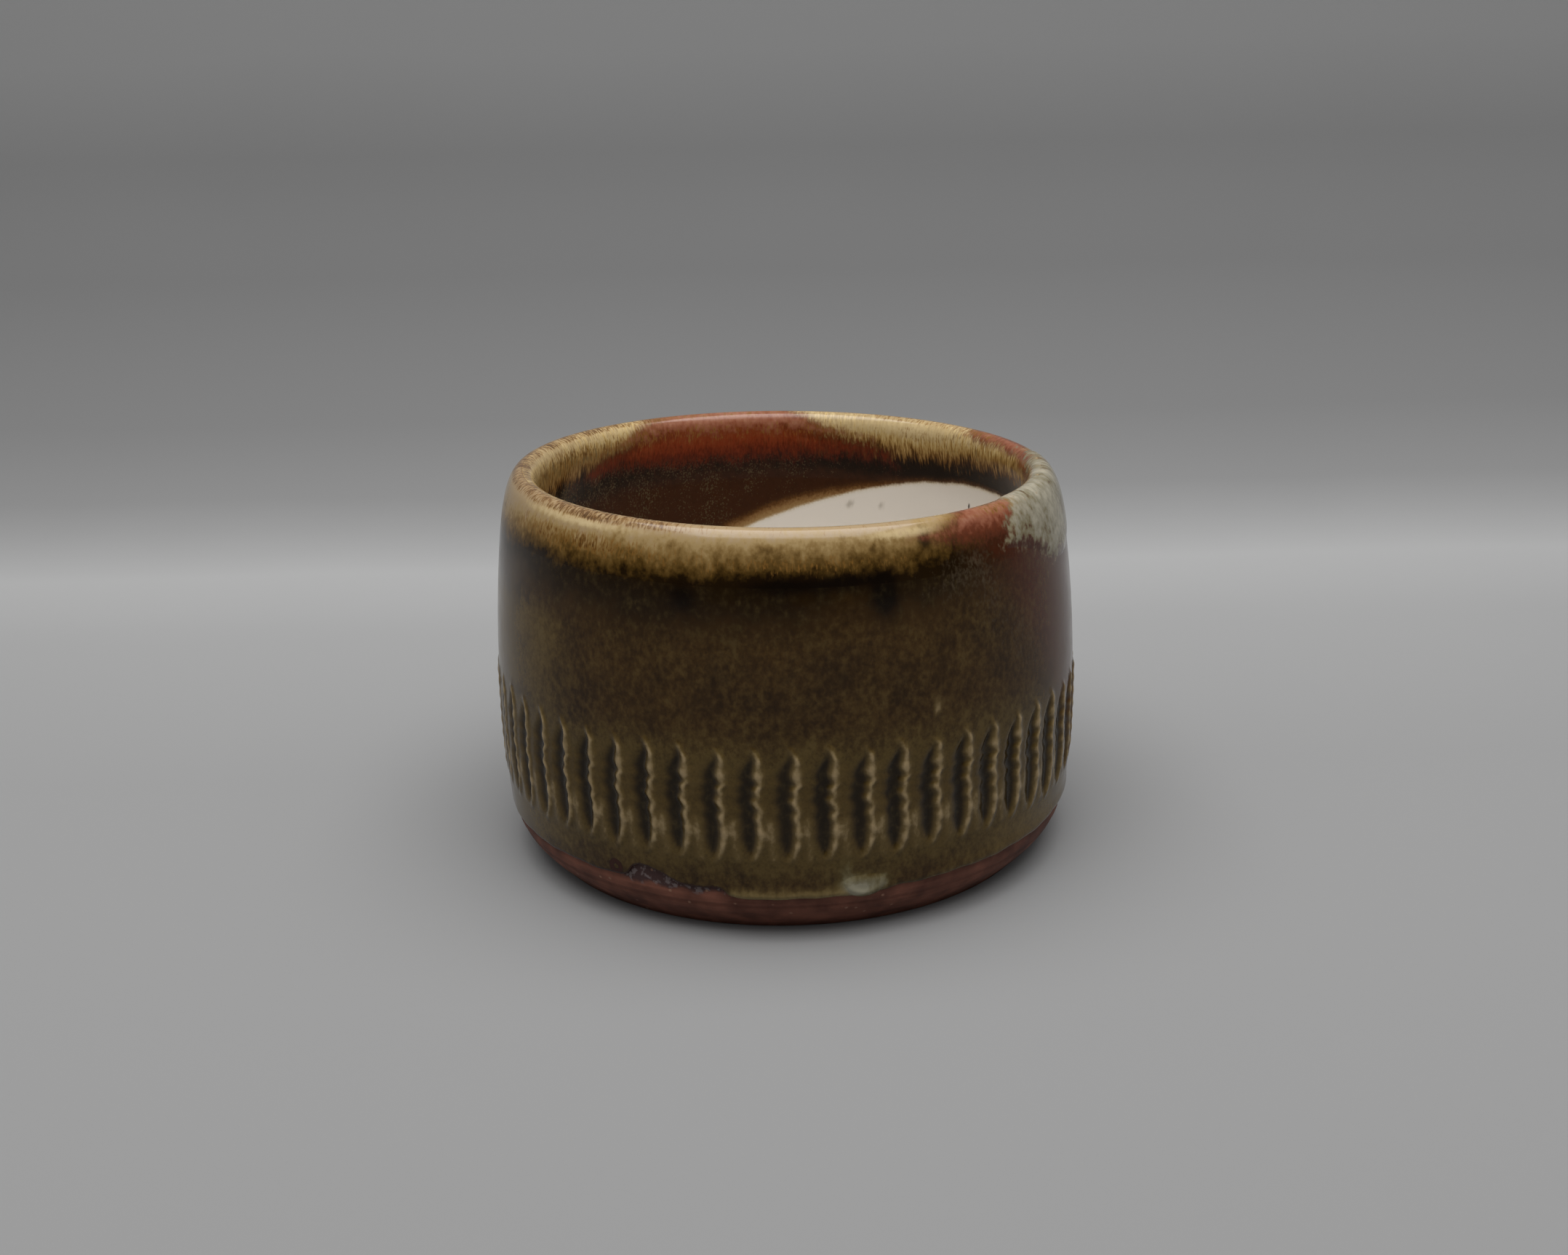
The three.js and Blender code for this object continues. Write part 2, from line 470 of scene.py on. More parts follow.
    def relief(self, bearing: Field, height: Field) -> Field:
        """How far the glazed face stands out of the plain wall.

        Args:
            bearing: where each point lies round the cup.
            height: its height.

        Returns:
            Millimetres out of the wall, below nought in a scoop.
        """
        part = self.parts(bearing, height)
        raised = self.burr_height * part["burr"] + self.lip_height * part["lip"]
        return raised + self.patch_height * part["patch"] - self.scoop_depth * part["scoop"]

    def crowd(self, bearing: Field, height: Field) -> Field:
        """Moves evenly spaced columns so that more of them run along each burr.

        Args:
            bearing: even bearings.
            height: the height of each point.

        Returns:
            Bearings that crowd at the burrs inside the band and are nearly even outside it.
        """
        place = bearing / self.pitch
        crowded = place - self.gather * np.sin(2 * np.pi * place) / (2 * np.pi)
        inside = between(height, 9.5, 12.5, 29.5, 33.0)
        moved = place + (crowded - place) * inside
        return self.first + self.pitch * moved + self.bend(height) * inside


CHATTER = ChatterBand()


@dataclass(frozen=True)
class Spot:
    """A soft stain or patch of painted highlight: its bearing and height, how far it spreads along each, and
    its strength.
    """

    bearing: float
    spread: float
    height: float
    rise: float
    strength: float = 1.0

    def on(self, bearing: Field, height: Field) -> Field:
        """How much of the stain lies at each point."""
        across = self.strength * hump(bearing, self.bearing, self.spread)
        return across * hump(height, self.height, self.rise)


@dataclass(frozen=True)
class FacePoints:
    """Points of the glazed face, by their bearings, their runs and their heights before the rim leans."""

    bearing: Field
    run: Field
    height: Field

    @cached_property
    def side(self) -> Field:
        """Bearings from -180 to 180, which are smooth across the front."""
        return turn_from(self.bearing, 0.0)

    @cached_property
    def behind(self) -> Field:
        """Bearings from 0 to 360, which are smooth across the back."""
        return self.bearing % 360.0

    @cached_property
    def outside(self) -> Field:
        """Which points lie outside the crest."""
        return self.run > 0

    @cached_property
    def level(self) -> Field:
        """Heights on the outside, counted on past the crest on the inside."""
        return np.where(self.outside, self.height, 2 * SECTION.crest_height - self.height)

    @cached_property
    def climb(self) -> Field:
        """Heights on the inside, counted on past the crest on the outside."""
        return np.where(self.outside, 2 * SECTION.crest_height - self.height, self.height)


@dataclass(frozen=True)
class GlazeMap:
    """Where each glaze and stain lies on the cup, and where light and shade are painted into its colour.

    The methods give depths in millimetres at each point: above nought inside a glaze's patch, below
    nought outside it. The materials then break up the edges. A line gives where an edge lies, and a
    spot is a stain or a patch of painted highlight that fades on all sides.
    """

    reach: float = 8.0
    dip_height: float = 32.9
    dip_slope: float = 16.4
    dip_bearing: float = 118.0
    dark_foot: float = 45.8
    band_low: float = 10.0
    band_high: float = 30.6
    splash_depth: float = 2.2
    splash_right: float = 103.0
    bead_bearing: float = 13.4
    bead_height: float = 8.35
    degree_length: float = 0.785
    # The lower edge of the outside glaze, with the arch left of the front where it crawled back.
    glaze_edge: Line = (
        (-180, 7.6), (-70, 7.5), (-37, 7.5), (-33, 7.7), (-31.6, 8.0), (-30.4, 9.3), (-28.6, 10.0),
        (-26.6, 9.9), (-24.5, 9.4), (-22.5, 8.8), (-20.5, 8.2), (-18.5, 7.9), (-16, 7.8), (-14.3, 8.1),
        (-13.0, 8.0), (-12.2, 7.6), (-11.4, 6.9), (-9.5, 6.7), (-3, 6.55), (4, 6.6), (9, 6.75),
        (13, 6.6), (17, 6.8), (20, 7.2), (34, 7.3), (52, 7.5), (70, 8.0), (120, 7.7), (180, 7.6),
    )
    # The lower edge of the ash glaze on the outside.
    ash_foot: Line = (
        (-180, 51.0), (-75, 50.2), (-65, 50.4), (-56, 51.4), (-35, 51.5), (-15, 52.0), (3, 52.5),
        (24, 52.4), (29, 52.8), (36, 54.4), (60, 57.0), (120, 52.2), (180, 51.0),
    )
    # The red patch on the front of the lip, between its lower and its upper edge.
    lip_floor: Line = ((25, 57.6), (29, 56.0), (33, 55.0), (40, 54.4), (52, 54.2))
    lip_roof: Line = ((25, 56.2), (30, 56.8), (35, 58.0), (40, 60.2), (54, 60.8))
    # The upper edge of the red patch inside the back.
    back_roof: Line = (
        (146, 52.0), (155, 54.2), (163, 55.4), (170, 56.2), (175, 58.0),
        (182, 60.4), (206, 60.4), (222, 56.4), (240, 51.6),
    )
    # The run of the red streak that crosses the crest on the right.
    streak_middle: Line = ((86, -2.8), (98, -1.7), (108, -0.8), (122, -0.1))
    # The lower and the upper edge of the pale splash.
    splash_foot: Line = (
        (44, 53.4), (50, 52.8), (54, 52.0), (58, 50.6), (62, 49.4), (66, 48.4),
        (72, 47.8), (80, 48.8), (88, 51.6), (96, 55.4), (102, 60.0),
    )
    splash_roof: Line = ((70, 61.0), (84, 60.4), (95, 59.6), (103, 59.2))
    # Dark runs below the lip, and the other stains of the wall.
    runs: tuple[Spot, ...] = (
        Spot(-18.5, 3.2, 49.8, 2.4),
        Spot(18.0, 2.6, 50.0, 3.4, 1.15),
        Spot(0.0, 9.0, 51.7, 1.5),
        Spot(12.0, 6.0, 52.2, 1.2, 0.7),
        Spot(26.8, 1.6, 56.6, 1.7, 0.9),
        Spot(10.0, 1.8, 39.0, 1.6, 0.55),
    )
    frost: Spot = Spot(36.0, 11.0, 51.5, 6.0, 1.06)
    blob: Spot = Spot(27.4, 0.9, 33.2, 1.3, 0.8)
    # Rusty dashes of the lip, and painted highlight bands on its shoulder outside and under its crest inside.
    rust_left: Spot = Spot(-44.0, 38.0, 55.0, 2.2, 0.89)
    rust_front: Spot = Spot(4.0, 36.0, 54.4, 1.9, 0.66)
    painted_highlight_outside: tuple[Spot, ...] = (Spot(-45.0, 30.0, 57.5, 1.0), Spot(23.0, 13.0, 57.6, 1.0, 1.05))
    painted_highlight_inside: Spot = Spot(146.0, 30.0, 57.2, 2.6, 0.97)
    # Marks in the white liner.
    specks: tuple[Spot, ...] = (Spot(127.0, 0.4, 45.5, 0.6),)
    smudges: tuple[Spot, ...] = (Spot(154.0, 0.9, 42.3, 0.7), Spot(162.5, 1.2, 42.3, 0.8))

    def glaze_line(self, bearing: Field) -> Field:
        """Height of the lower edge of the outside glaze.

        Args:
            bearing: where each point lies round the cup.

        Returns:
            Heights, with a fine ripple.
        """
        side = turn_from(bearing, 0.0)
        angle = np.radians(side)
        ripple = 0.07 * np.sin(23 * angle + 1.0) + 0.05 * np.sin(57 * angle)
        return along(self.glaze_edge, side) + ripple

    def dip_line(self, bearing: Field) -> Field:
        """Height of the slanted line inside where the white liner begins."""
        return self.dip_height + self.dip_slope * np.cos(np.radians(bearing - self.dip_bearing))

    def wall(self, at: FacePoints) -> dict[str, Field]:
        """Depths of the glazes and stains of the outside wall, with painted sheen, shadow and highlight among
        them.

        Args:
            at: the points.

        Returns:
            Depths by the name of the glaze, true outside only.
        """
        side, height = at.side, at.height
        marks = CHATTER.parts(at.bearing, height)
        dark = height - self.dark_foot - 2.8 * ease(side, 14, 40) - 2.8 * ease(-side, 44, 68)
        dark = dark + 0.8 * hump(side, -25, 18) - 2.4 * hump(side, 11.0, 5.0)
        lean = 0.9 * (50.0 - height)
        sparse = 0.75 * hump(side, 38.0 + lean, 9.0) * ease(height, 29, 36)
        # The khaki layer is partly the pale glaze of the rolled foot and partly painted sheen: it grows
        # stronger towards both sides of the cup and lays a lighter olive over the left wall.
        low = 0.9 * ease(side, 24, 50) + 0.8 * ease(-side, 38, 60) + 0.25
        left = between(-side, 32, 54, 95, 140) * between(height, 27, 33, 42, 47)
        still = ease(height, 44.0, 50.0) * (1.0 - between(side, 30, 46, 140, 175))
        pepper = -0.3 - 2.0 * still - 4.0 * ease(height, 52.0, 54.5)
        ridge = marks["burr"] + 0.5 * marks["lip"] + 0.2 * marks["patch"] + self.blob.on(side, height)
        return {
            "band": np.minimum(height - self.band_low, self.band_high - height),
            "dark": dark,
            "runs": stain(sum(spot.on(side, height) for spot in self.runs), 0.45, 3.0),
            "red_wall": np.minimum((side - 40.0 - lean) * 0.5, (150.0 - side) * 0.7),
            "crystal": stain(np.maximum(self.frost.on(side, height), sparse), 1.0, 4.0),
            "khaki_and_painted_sheen": stain(hump(height, 10.0, 3.6) * low + 0.85 * left, 0.5, 4.0),
            "pepper": pepper,
            "salt": pepper,
            # Painted light in the chatter marks: the groove colour darkens with the scoop's depth towards the
            # burr, pooled glaze with a painted shadow beside the burr; the burr colour is lighter, thin glaze
            # with a painted highlight.
            "groove": stain(marks["scoop"], 0.38, 1.6),
            "burr": stain(ridge, 0.42, 1.6),
        }

    def foot(self, at: FacePoints) -> dict[str, Field]:
        """Depths of the rolled and burnt glaze edge and of the milky glaze round the bead.

        Args:
            at: the points.

        Returns:
            Depths by the name of the glaze, true outside only.
        """
        side, height = at.side, at.height
        above = height - self.glaze_line(at.bearing)
        rolled = 2.2 * between(side, -13, -10, 9, 12) + between(side, 15, 20, 90, 170) - 0.4
        burnt = 0.42 * between(side, -75, -60, -12.2, -11.4) + 0.05 - above
        scab = 0.9 - np.abs(np.hypot((side + 34.0) * 0.75, height - 9.0) - 0.8) * 2.2
        across, up = (side - self.bead_bearing) * self.degree_length, height - self.bead_height
        lobe = 0.95 * hump(np.hypot((across + 1.3) / 2.7, (up + 0.7) / 1.4), 0.0, 1.0)
        veil = 0.58 * hump(np.hypot(across / 4.4, (up - 0.1) / 2.6), 0.0, 1.0)
        rim = 0.5 * hump(across, 2.7, 1.0) * hump(up, 0.0, 1.4)
        trail = 0.58 * hump(across, -2.8, 1.1) * hump(up, 2.6, 2.4)
        return {
            "edge": rolled - above,
            "burnt": np.maximum(burnt, scab),
            "milk": stain(lobe + veil + rim + trail, 0.45, 2.6),
        }

    def lip(self, at: FacePoints) -> dict[str, Field]:
        """Depths of the ash glaze over the lip, of the rust and dark lines in it, and of the painted
        highlight on it.

        Args:
            at: the points.

        Returns:
            Depths by the name of the glaze.
        """
        side, behind, run, height = at.side, at.behind, at.run, at.height
        ash = height - along(self.ash_foot, side)
        honey_foot = 52.0 + 0.7 * np.sin(np.radians(3 * at.bearing - 150)) + 1.2 * hump(behind, 114.0, 18.0)
        wall = np.maximum(self.rust_left.on(side, height), self.rust_front.on(side, height))
        inside = (0.62 + 0.28 * hump(behind, 252.0, 42.0)) * hump(run, -4.0, 2.6)
        inside = inside * (1.0 - hump(side, 0.0, 60.0))
        crest = 0.42 + 0.54 * ease(-side, 10, 26) + 0.44 * hump(side, 47.0, 6.0) + 0.36 * ease(side, 104, 124)
        crest = crest * between(run, -2.4, -1.2, 1.4, 2.6) - 0.28 * hump(behind, 188.0, 30.0)
        rust = np.maximum(np.where(at.outside, wall, inside), crest)
        # Painted highlight: the cream bands lie where the lip's shoulder and inner crest catch the overhead
        # light.
        painted_highlight_outside = sum(spot.on(side, height) for spot in self.painted_highlight_outside)
        painted_highlight = np.where(at.outside, painted_highlight_outside, self.painted_highlight_inside.on(behind, height))
        fringe = 0.9 * hump(behind, 246.0, 46.0) + 0.62 * hump(behind, 126.0, 22.0)
        lines = np.where(at.outside, 0.0, fringe * hump(run, -4.9, 2.8))
        return {
            "ash": np.where(run > -2.0, ash, -self.reach),
            "honey": np.where(at.outside, -self.reach, height - honey_foot),
            "rust": stain(rust, 0.85, 5.0),
            "painted_highlight": stain(painted_highlight, 0.75, 5.0),
            "lines": stain(lines, 0.85, 5.0),
        }

    def reds(self, at: FacePoints) -> dict[str, Field]:
        """Depths of the red patches of the lip and of the painted light that makes them paler towards their
        crests.

        Args:
            at: the points.

        Returns:
            Depths by the name of the glaze.
        """
        side, behind, run, level = at.side, at.behind, at.run, at.level
        front_ends = np.minimum((side - 25.5) * 0.45, (56.0 - side) * 0.6)
        front_edges = np.minimum(level - along(self.lip_floor, side), along(self.lip_roof, side) - level)
        front = np.minimum(front_edges, front_ends)
        back_ends = np.minimum((behind - 150.0) * 0.6, (242.0 - behind) * 0.5)
        back_foot = at.height - 50.6 - 0.4 * np.sin(np.radians(5 * at.bearing))
        back = np.minimum.reduce([back_foot, back_ends, along(self.back_roof, behind) - at.climb])
        streak_ends = np.minimum(behind - 76.0, 127.0 - behind) * 0.25
        streak = np.minimum(1.7 - np.abs(run - along(self.streak_middle, behind)), streak_ends)
        # Painted light: the red patches grow paler towards the crest, where the lip turns up to the overhead
        # light and shows its sheen.
        painted_back_crest_light = np.minimum(np.maximum(back + 0.6, streak - 0.2), 4.5 - np.abs(run))
        painted_front_crest_light = np.minimum(front + 0.5, 3.5 - np.abs(run))
        return {
            "red_front": front,
            "red_lip": np.maximum(back, streak),
            "painted_crest_light": np.maximum(painted_back_crest_light, painted_front_crest_light),
        }

    def splash(self, at: FacePoints) -> Field:
        """Depth of the pale splash on the right of the lip.

        Args:
            at: the points.

        Returns:
            The depths.
        """
        side, level = at.side, at.level
        left_edge = 46.4 + 1.1 * np.clip(level - 54.0, 0.0, 5.0)
        ends = np.minimum((side - left_edge) * 0.6, (self.splash_right - side) * 0.5)
        edges = np.minimum(level - along(self.splash_foot, side), along(self.splash_roof, side) - level)
        return np.minimum(np.minimum(ends, edges), self.splash_depth)

    def inside(self, at: FacePoints) -> dict[str, Field]:
        """Depths of the glazes of the inside wall and of the liner's marks.

        Args:
            at: the points.

        Returns:
            Depths by the name of the glaze, true inside only.
        """
        behind, height = at.behind, at.height
        dip = self.dip_line(at.bearing)
        left = hump(behind, 248, 30)
        black = 0.45 + 0.55 * hump(behind, 136, 34) + 0.3 * left
        halo = 0.7 + 1.9 * hump(behind, 182, 24) + hump(behind, 225, 30)
        gold = 0.48 + 0.16 * ease(behind, 145, 170) + 0.2 * between(behind, 155, 210, 290, 350)
        gold = gold + 0.16 * hump(height, 49.4, 3.0) + 0.14 * hump(height, 51.5, 0.9)
        gold = np.where((height > dip + 1.5) & (height < SECTION.inner_lip), gold, 0.0)
        return {
            "black": 1.9 * hump(height, 50.6, 2.5 + 1.5 * left) * black - 0.6,
            "halo": halo - np.abs(height - dip),
            "white": dip - height,
            "gold": stain(gold, 1.16, 5.0),
            "smudge": stain(sum(spot.on(behind, height) for spot in self.smudges), 0.45, 2.0),
            "speck": stain(sum(spot.on(behind, height) for spot in self.specks), 0.45, 2.0),
        }

    def fields(self, bearing: Field, run: Field, height: Field) -> dict[str, Field]:
        """The depth in every glaze and stain at each point.

        Args:
            bearing: where each point lies round the cup.
            run: its distance along the section from the crest.
            height: its height before the rim's lean.

        Returns:
            Depths by the name of the glaze.
        """
        at = FacePoints(bearing, run, height)
        deep = {"inner": -run, "splash": self.splash(at), **self.lip(at), **self.reds(at)}
        for name, depth in {**self.wall(at), **self.foot(at)}.items():
            deep[name] = np.where(at.outside, depth, -self.reach)
        for name, depth in self.inside(at).items():
            deep[name] = np.where(at.outside, -self.reach, depth)
        return {name: np.clip(depth, -self.reach, self.reach) for name, depth in deep.items()}


GLAZES = GlazeMap()


class Pattern(Enum):
    """What breaks up a glaze: the width and length of its marks in millimetres, and its octaves."""

    FUR = (0.4, 2.2, 3.0)
    DASH = (0.32, 0.55, 2.0)
    BLOTCH = (0.85, 1.1, 3.0)
    STREAK = (0.32, 0.95, 3.0)
    GRAIN = (0.8, 1.1, 3.0)
    MOTTLE = (3.6, 4.6, 4.0)
    CLOUD = (9.0, 9.0, 3.0)
    FLECK = (0.34, 0.4, 2.0)
    CRYSTAL = (0.45, 0.7, 2.0)
    SPARK = (0.3, 0.38, 2.0)


@dataclass(frozen=True)
class GlazeLayer:
    """One glaze, stain or patch of painted light that lies over those before it.

    Attributes:
        field: the attribute that gives the depth inside it, in millimetres.
        colours: from its edge to its depth.
        build: the depth at which the last colour is reached.
        pattern: what breaks it up.
        ragged: how far the pattern moves its edge, in millimetres.
        drift: how far the pattern moves its colours, in millimetres.
        soft: how wide its edge fades, in millimetres.
        cover: how much of what is below it hides.
        wander: how far broad mottles move its edge and its colours, in millimetres.
    """

    field: str
    colours: tuple[str, ...]
    build: float
    pattern: Pattern
    ragged: float
    drift: float
    soft: float
    cover: float = 1.0
    wander: float = 0.0


# The colours of the glazes that need more than three.
ASH_COLOURS = ("#1e1204", "#453111", "#5e4620", "#7c6238", "#947c52", "#968060")
HONEY_COLOURS = ("#2e1c0a", "#664620", "#947442", "#b09662", "#baa478", "#a08a64")
SPLASH_COLOURS = ("#665440", "#787058", "#888270", "#948e7c", "#a09a88")
MILK_COLOURS = ("#5a4c28", "#6a6042", "#7c755c", "#96917c")
HALO_COLOURS = ("#3c2410", "#5a3a1c", "#86643c", "#9a7c52")

LAYERS = {
    layer.field: layer
    for layer in (
        GlazeLayer("inner", ("#442612", "#482812", "#361d0d"), 4.0, Pattern.MOTTLE, 0.4, 4.0, 1.5),
        GlazeLayer("band", ("#4c3c1c", "#584824", "#544320"), 6.0, Pattern.GRAIN, 2.0, 7.0, 6.0, 0.75, 3.0),
        # Khaki glaze, partly painted sheen towards the sides of the cup.
        GlazeLayer("khaki_and_painted_sheen", ("#58451e", "#6c582c"), 3.0, Pattern.GRAIN, 1.5, 3.0, 4.0, 0.6, 2.0),
        GlazeLayer("pepper", ("#1a1004", "#120a02"), 1.0, Pattern.FLECK, 3.0, 1.0, 2.4, 0.34),
        GlazeLayer("salt", ("#54421e", "#665430"), 1.0, Pattern.GRAIN, 3.0, 1.0, 2.4, 0.2, 2.0),
        GlazeLayer("dark", ("#281804", "#1c1003", "#140b02"), 5.0, Pattern.GRAIN, 2.0, 2.5, 6.0, 0.86, 4.0),
        GlazeLayer("runs", ("#120803", "#080402"), 1.2, Pattern.GRAIN, 0.6, 0.6, 2.2, 0.8, 1.2),
        GlazeLayer(
            "red_wall", ("#3a2210", "#46200f", "#482112"), 8.0, Pattern.GRAIN, 1.5, 3.0, 8.0, 0.88, 3.0
        ),
        GlazeLayer("crystal", ("#463a2a", "#5e5240"), 1.0, Pattern.CRYSTAL, 5.0, 1.0, 2.4, 0.52, 2.0),
        GlazeLayer("ash", ASH_COLOURS, 6.3, Pattern.BLOTCH, 1.3, 2.4, 3.4, 1.0, 2.6),
        GlazeLayer("honey", HONEY_COLOURS, 6.8, Pattern.FUR, 2.6, 5.0, 1.8, 1.0, 1.4),
        GlazeLayer("lines", ("#4c3616", "#281a08"), 1.2, Pattern.FUR, 5.0, 2.0, 1.6, 0.8, 1.6),
        # Painted highlight on the lip's shoulder and under its inner crest.
        GlazeLayer("painted_highlight", ("#a89268", "#bea980"), 1.6, Pattern.BLOTCH, 2.0, 1.5, 2.2, 0.8, 0.6),
        GlazeLayer("rust", ("#7c5828", "#553512", "#321c08"), 2.2, Pattern.STREAK, 5.0, 2.8, 2.8, 0.88, 1.7),
        GlazeLayer(
            "red_lip", ("#40180a", "#5e220c", "#782f15"), 4.0, Pattern.STREAK, 2.6, 3.2, 3.0, 0.94, 2.4
        ),
        GlazeLayer(
            "red_front", ("#402416", "#552c1c", "#5c3322"), 3.0, Pattern.DASH, 1.6, 2.0, 2.6, 0.92, 1.2
        ),
        # Painted light: the red patches paler towards the crest, with painted sheen.
        GlazeLayer("painted_crest_light", ("#662e18", "#84503a", "#946650"), 3.0, Pattern.BLOTCH, 1.6, 2.6, 2.6, 0.85, 1.4),
        GlazeLayer("splash", SPLASH_COLOURS, 3.6, Pattern.BLOTCH, 2.8, 2.8, 1.6, 0.95, 4.0),
        # Groove: pooled glaze with painted shadow beside the burr. Burr: thin glaze with painted highlight.
        GlazeLayer("groove", ("#2a1e0c", "#160e04"), 0.9, Pattern.GRAIN, 0.3, 0.5, 1.7, 0.95),
        GlazeLayer("burr", ("#685634", "#988462"), 1.0, Pattern.GRAIN, 0.5, 1.0, 1.6, 0.92),
        GlazeLayer("milk", MILK_COLOURS, 2.0, Pattern.GRAIN, 0.8, 1.0, 2.4, 0.85, 0.8),
        GlazeLayer("edge", ("#544424", "#84724a"), 1.8, Pattern.GRAIN, 0.6, 0.9, 1.8, 0.85, 0.4),
        GlazeLayer("burnt", ("#240d06", "#300f08"), 0.4, Pattern.DASH, 0.3, 0.5, 0.3, 0.9),
        GlazeLayer("black", ("#1a0f05", "#100802"), 1.2, Pattern.GRAIN, 0.8, 0.6, 1.4, 0.9),
        GlazeLayer("gold", ("#544630", "#887858"), 1.0, Pattern.SPARK, 5.6, 1.2, 1.6, 0.7, 3.0),
        GlazeLayer("halo", HALO_COLOURS, 2.4, Pattern.FLECK, 0.5, 0.7, 1.4, 0.9, 0.5),
        GlazeLayer("white", ("#c4b498", "#dcd5ca", "#e0d9cf"), 1.0, Pattern.FLECK, 0.2, 0.3, 0.6, 1.0, 0.3),
        GlazeLayer("smudge", ("#b0a698", "#9a9082"), 0.8, Pattern.FLECK, 0.2, 0.3, 1.4, 0.6),
        GlazeLayer("speck", ("#3a2c20", "#1e1610"), 0.6, Pattern.FLECK, 0.15, 0.3, 0.5, 0.9),
    )
}


@dataclass(frozen=True)
class FusedGlaze:
    """A glossy stoneware glaze, melted in the kiln into layers that ran into one another."""

    name: str
    light: str
    deep: str
    layers: tuple[str, ...]
    gloss: float = 0.15
    gloss_spread: tuple[float, float] = (-0.04, 0.06)
    ior: float = 1.5
    specular: float = 0.2
    ripple: float = 0.12

    def material(self) -> bpy.types.Material:
        """Makes the glaze's material.

        A fused glaze is a smooth, slightly uneven glass, so the eye sees a clear gloss over soft-edged
        colours that break up in streaks, mottles and specks, with some light and shade painted in.

        Returns:
            The new material.
        """
        made = bpy.data.materials.new(self.name)
        tree = empty_tree(made)
        flow = node(tree, "ShaderNodeAttribute", attribute_name="flow").outputs["Vector"]
        broken = {}
        for pattern in Pattern:
            width, length, octaves = pattern.value
            scale = (1 / width, 1 / width, 1 / length)
            placed = node(tree, "ShaderNodeMapping", {"Vector": flow, "Scale": scale}).outputs[0]
            settings = {"Vector": placed, "Scale": 1.0, "Detail": octaves, "Roughness": 0.55}
            broken[pattern] = node(tree, "ShaderNodeTexNoise", settings).outputs["Fac"]
        mottle, cloud = broken[Pattern.MOTTLE], broken[Pattern.CLOUD]
        mixed = 0.0
        for pattern, share in ((Pattern.MOTTLE, 0.3), (Pattern.GRAIN, 0.4), (Pattern.CLOUD, 0.3)):
            shares = {0: broken[pattern], 1: share, 2: mixed}
            mixed = node(tree, "ShaderNodeMath", shares, operation="MULTIPLY_ADD").outputs[0]
        stops = [(0.36, self.deep), (0.64, self.light)]
        colour = node(tree, "ShaderNodeValToRGB", {0: mixed}, stops=stops).outputs[0]
        for name in self.layers:
            colour = self.lay_over(tree, colour, LAYERS[name], broken)
        waves = {0: mottle, 1: 0.5, 2: cloud}
        height = node(tree, "ShaderNodeMath", waves, operation="MULTIPLY_ADD").outputs[0]
        uneven = {"Height": height, "Strength": 0.25, "Distance": self.ripple * MM}
        bump = node(tree, "ShaderNodeBump", uneven).outputs[0]
        smooth, dull = (self.gloss + change for change in self.gloss_spread)
        melt = {"Value": mottle, "From Min": 0.3, "From Max": 0.7, "To Min": smooth, "To Max": dull}
        rough = node(tree, "ShaderNodeMapRange", melt).outputs[0]
        surface = {
            "Base Color": colour,
            "Roughness": rough,
            "Normal": bump,
            "IOR": self.ior,
            "Specular IOR Level": self.shine(tree),
        }
        shader = node(tree, "ShaderNodeBsdfPrincipled", surface).outputs[0]
        node(tree, "ShaderNodeOutputMaterial", {"Surface": shader})
        return made

    def lay_over(
        self,
        tree: bpy.types.NodeTree,
        under: bpy.types.NodeSocket,
        layer: GlazeLayer,
        broken: dict[Pattern, bpy.types.NodeSocket],
    ) -> bpy.types.NodeSocket:
        """Lays one glaze, stain or patch of painted light over the colour so far.

        Args:
            tree: the material's tree.
            under: the colour so far.
            layer: the glaze to lay over it.
            broken: every pattern's noise, about one half on average.

        Returns:
            The colour with the glaze on it.
        """
        depth = node(tree, "ShaderNodeAttribute", attribute_name=layer.field).outputs["Fac"]
        if layer.wander:
            slow = {0: broken[Pattern.MOTTLE], 1: 2 * layer.wander, 2: -layer.wander}
            offset = node(tree, "ShaderNodeMath", slow, operation="MULTIPLY_ADD").outputs[0]
            depth = node(tree, "ShaderNodeMath", {0: depth, 1: offset}, operation="ADD").outputs[0]
        shifted = []
        for amount in (layer.ragged, layer.drift):
            quick = {0: broken[layer.pattern], 1: 2 * amount, 2: -amount}
            offset = node(tree, "ShaderNodeMath", quick, operation="MULTIPLY_ADD").outputs[0]
            shifted.append(node(tree, "ShaderNodeMath", {0: depth, 1: offset}, operation="ADD").outputs[0])
        half = layer.soft / 2
        fade = {"Value": shifted[0], "From Min": -half, "From Max": half, "To Max": layer.cover}
        mask = node(tree, "ShaderNodeMapRange", fade, interpolation_type="SMOOTHSTEP").outputs[0]
        part = node(tree, "ShaderNodeMapRange", {"Value": shifted[1], "From Max": layer.build}).outputs[0]
        last = len(layer.colours) - 1
        stops = [(index / last, code) for index, code in enumerate(layer.colours)]
        over = node(tree, "ShaderNodeValToRGB", {0: part}, stops=stops).outputs[0]
        sockets = {MIX_FACTOR: mask, MIX_UNDER: under, MIX_OVER: over}
        return node(tree, "ShaderNodeMix", sockets, data_type="RGBA").outputs[MIX_RESULT]

    def shine(self, tree: bpy.types.NodeTree) -> float | bpy.types.NodeSocket:
        """How strongly the glaze mirrors the room, which is the same all over."""
        return self.specular


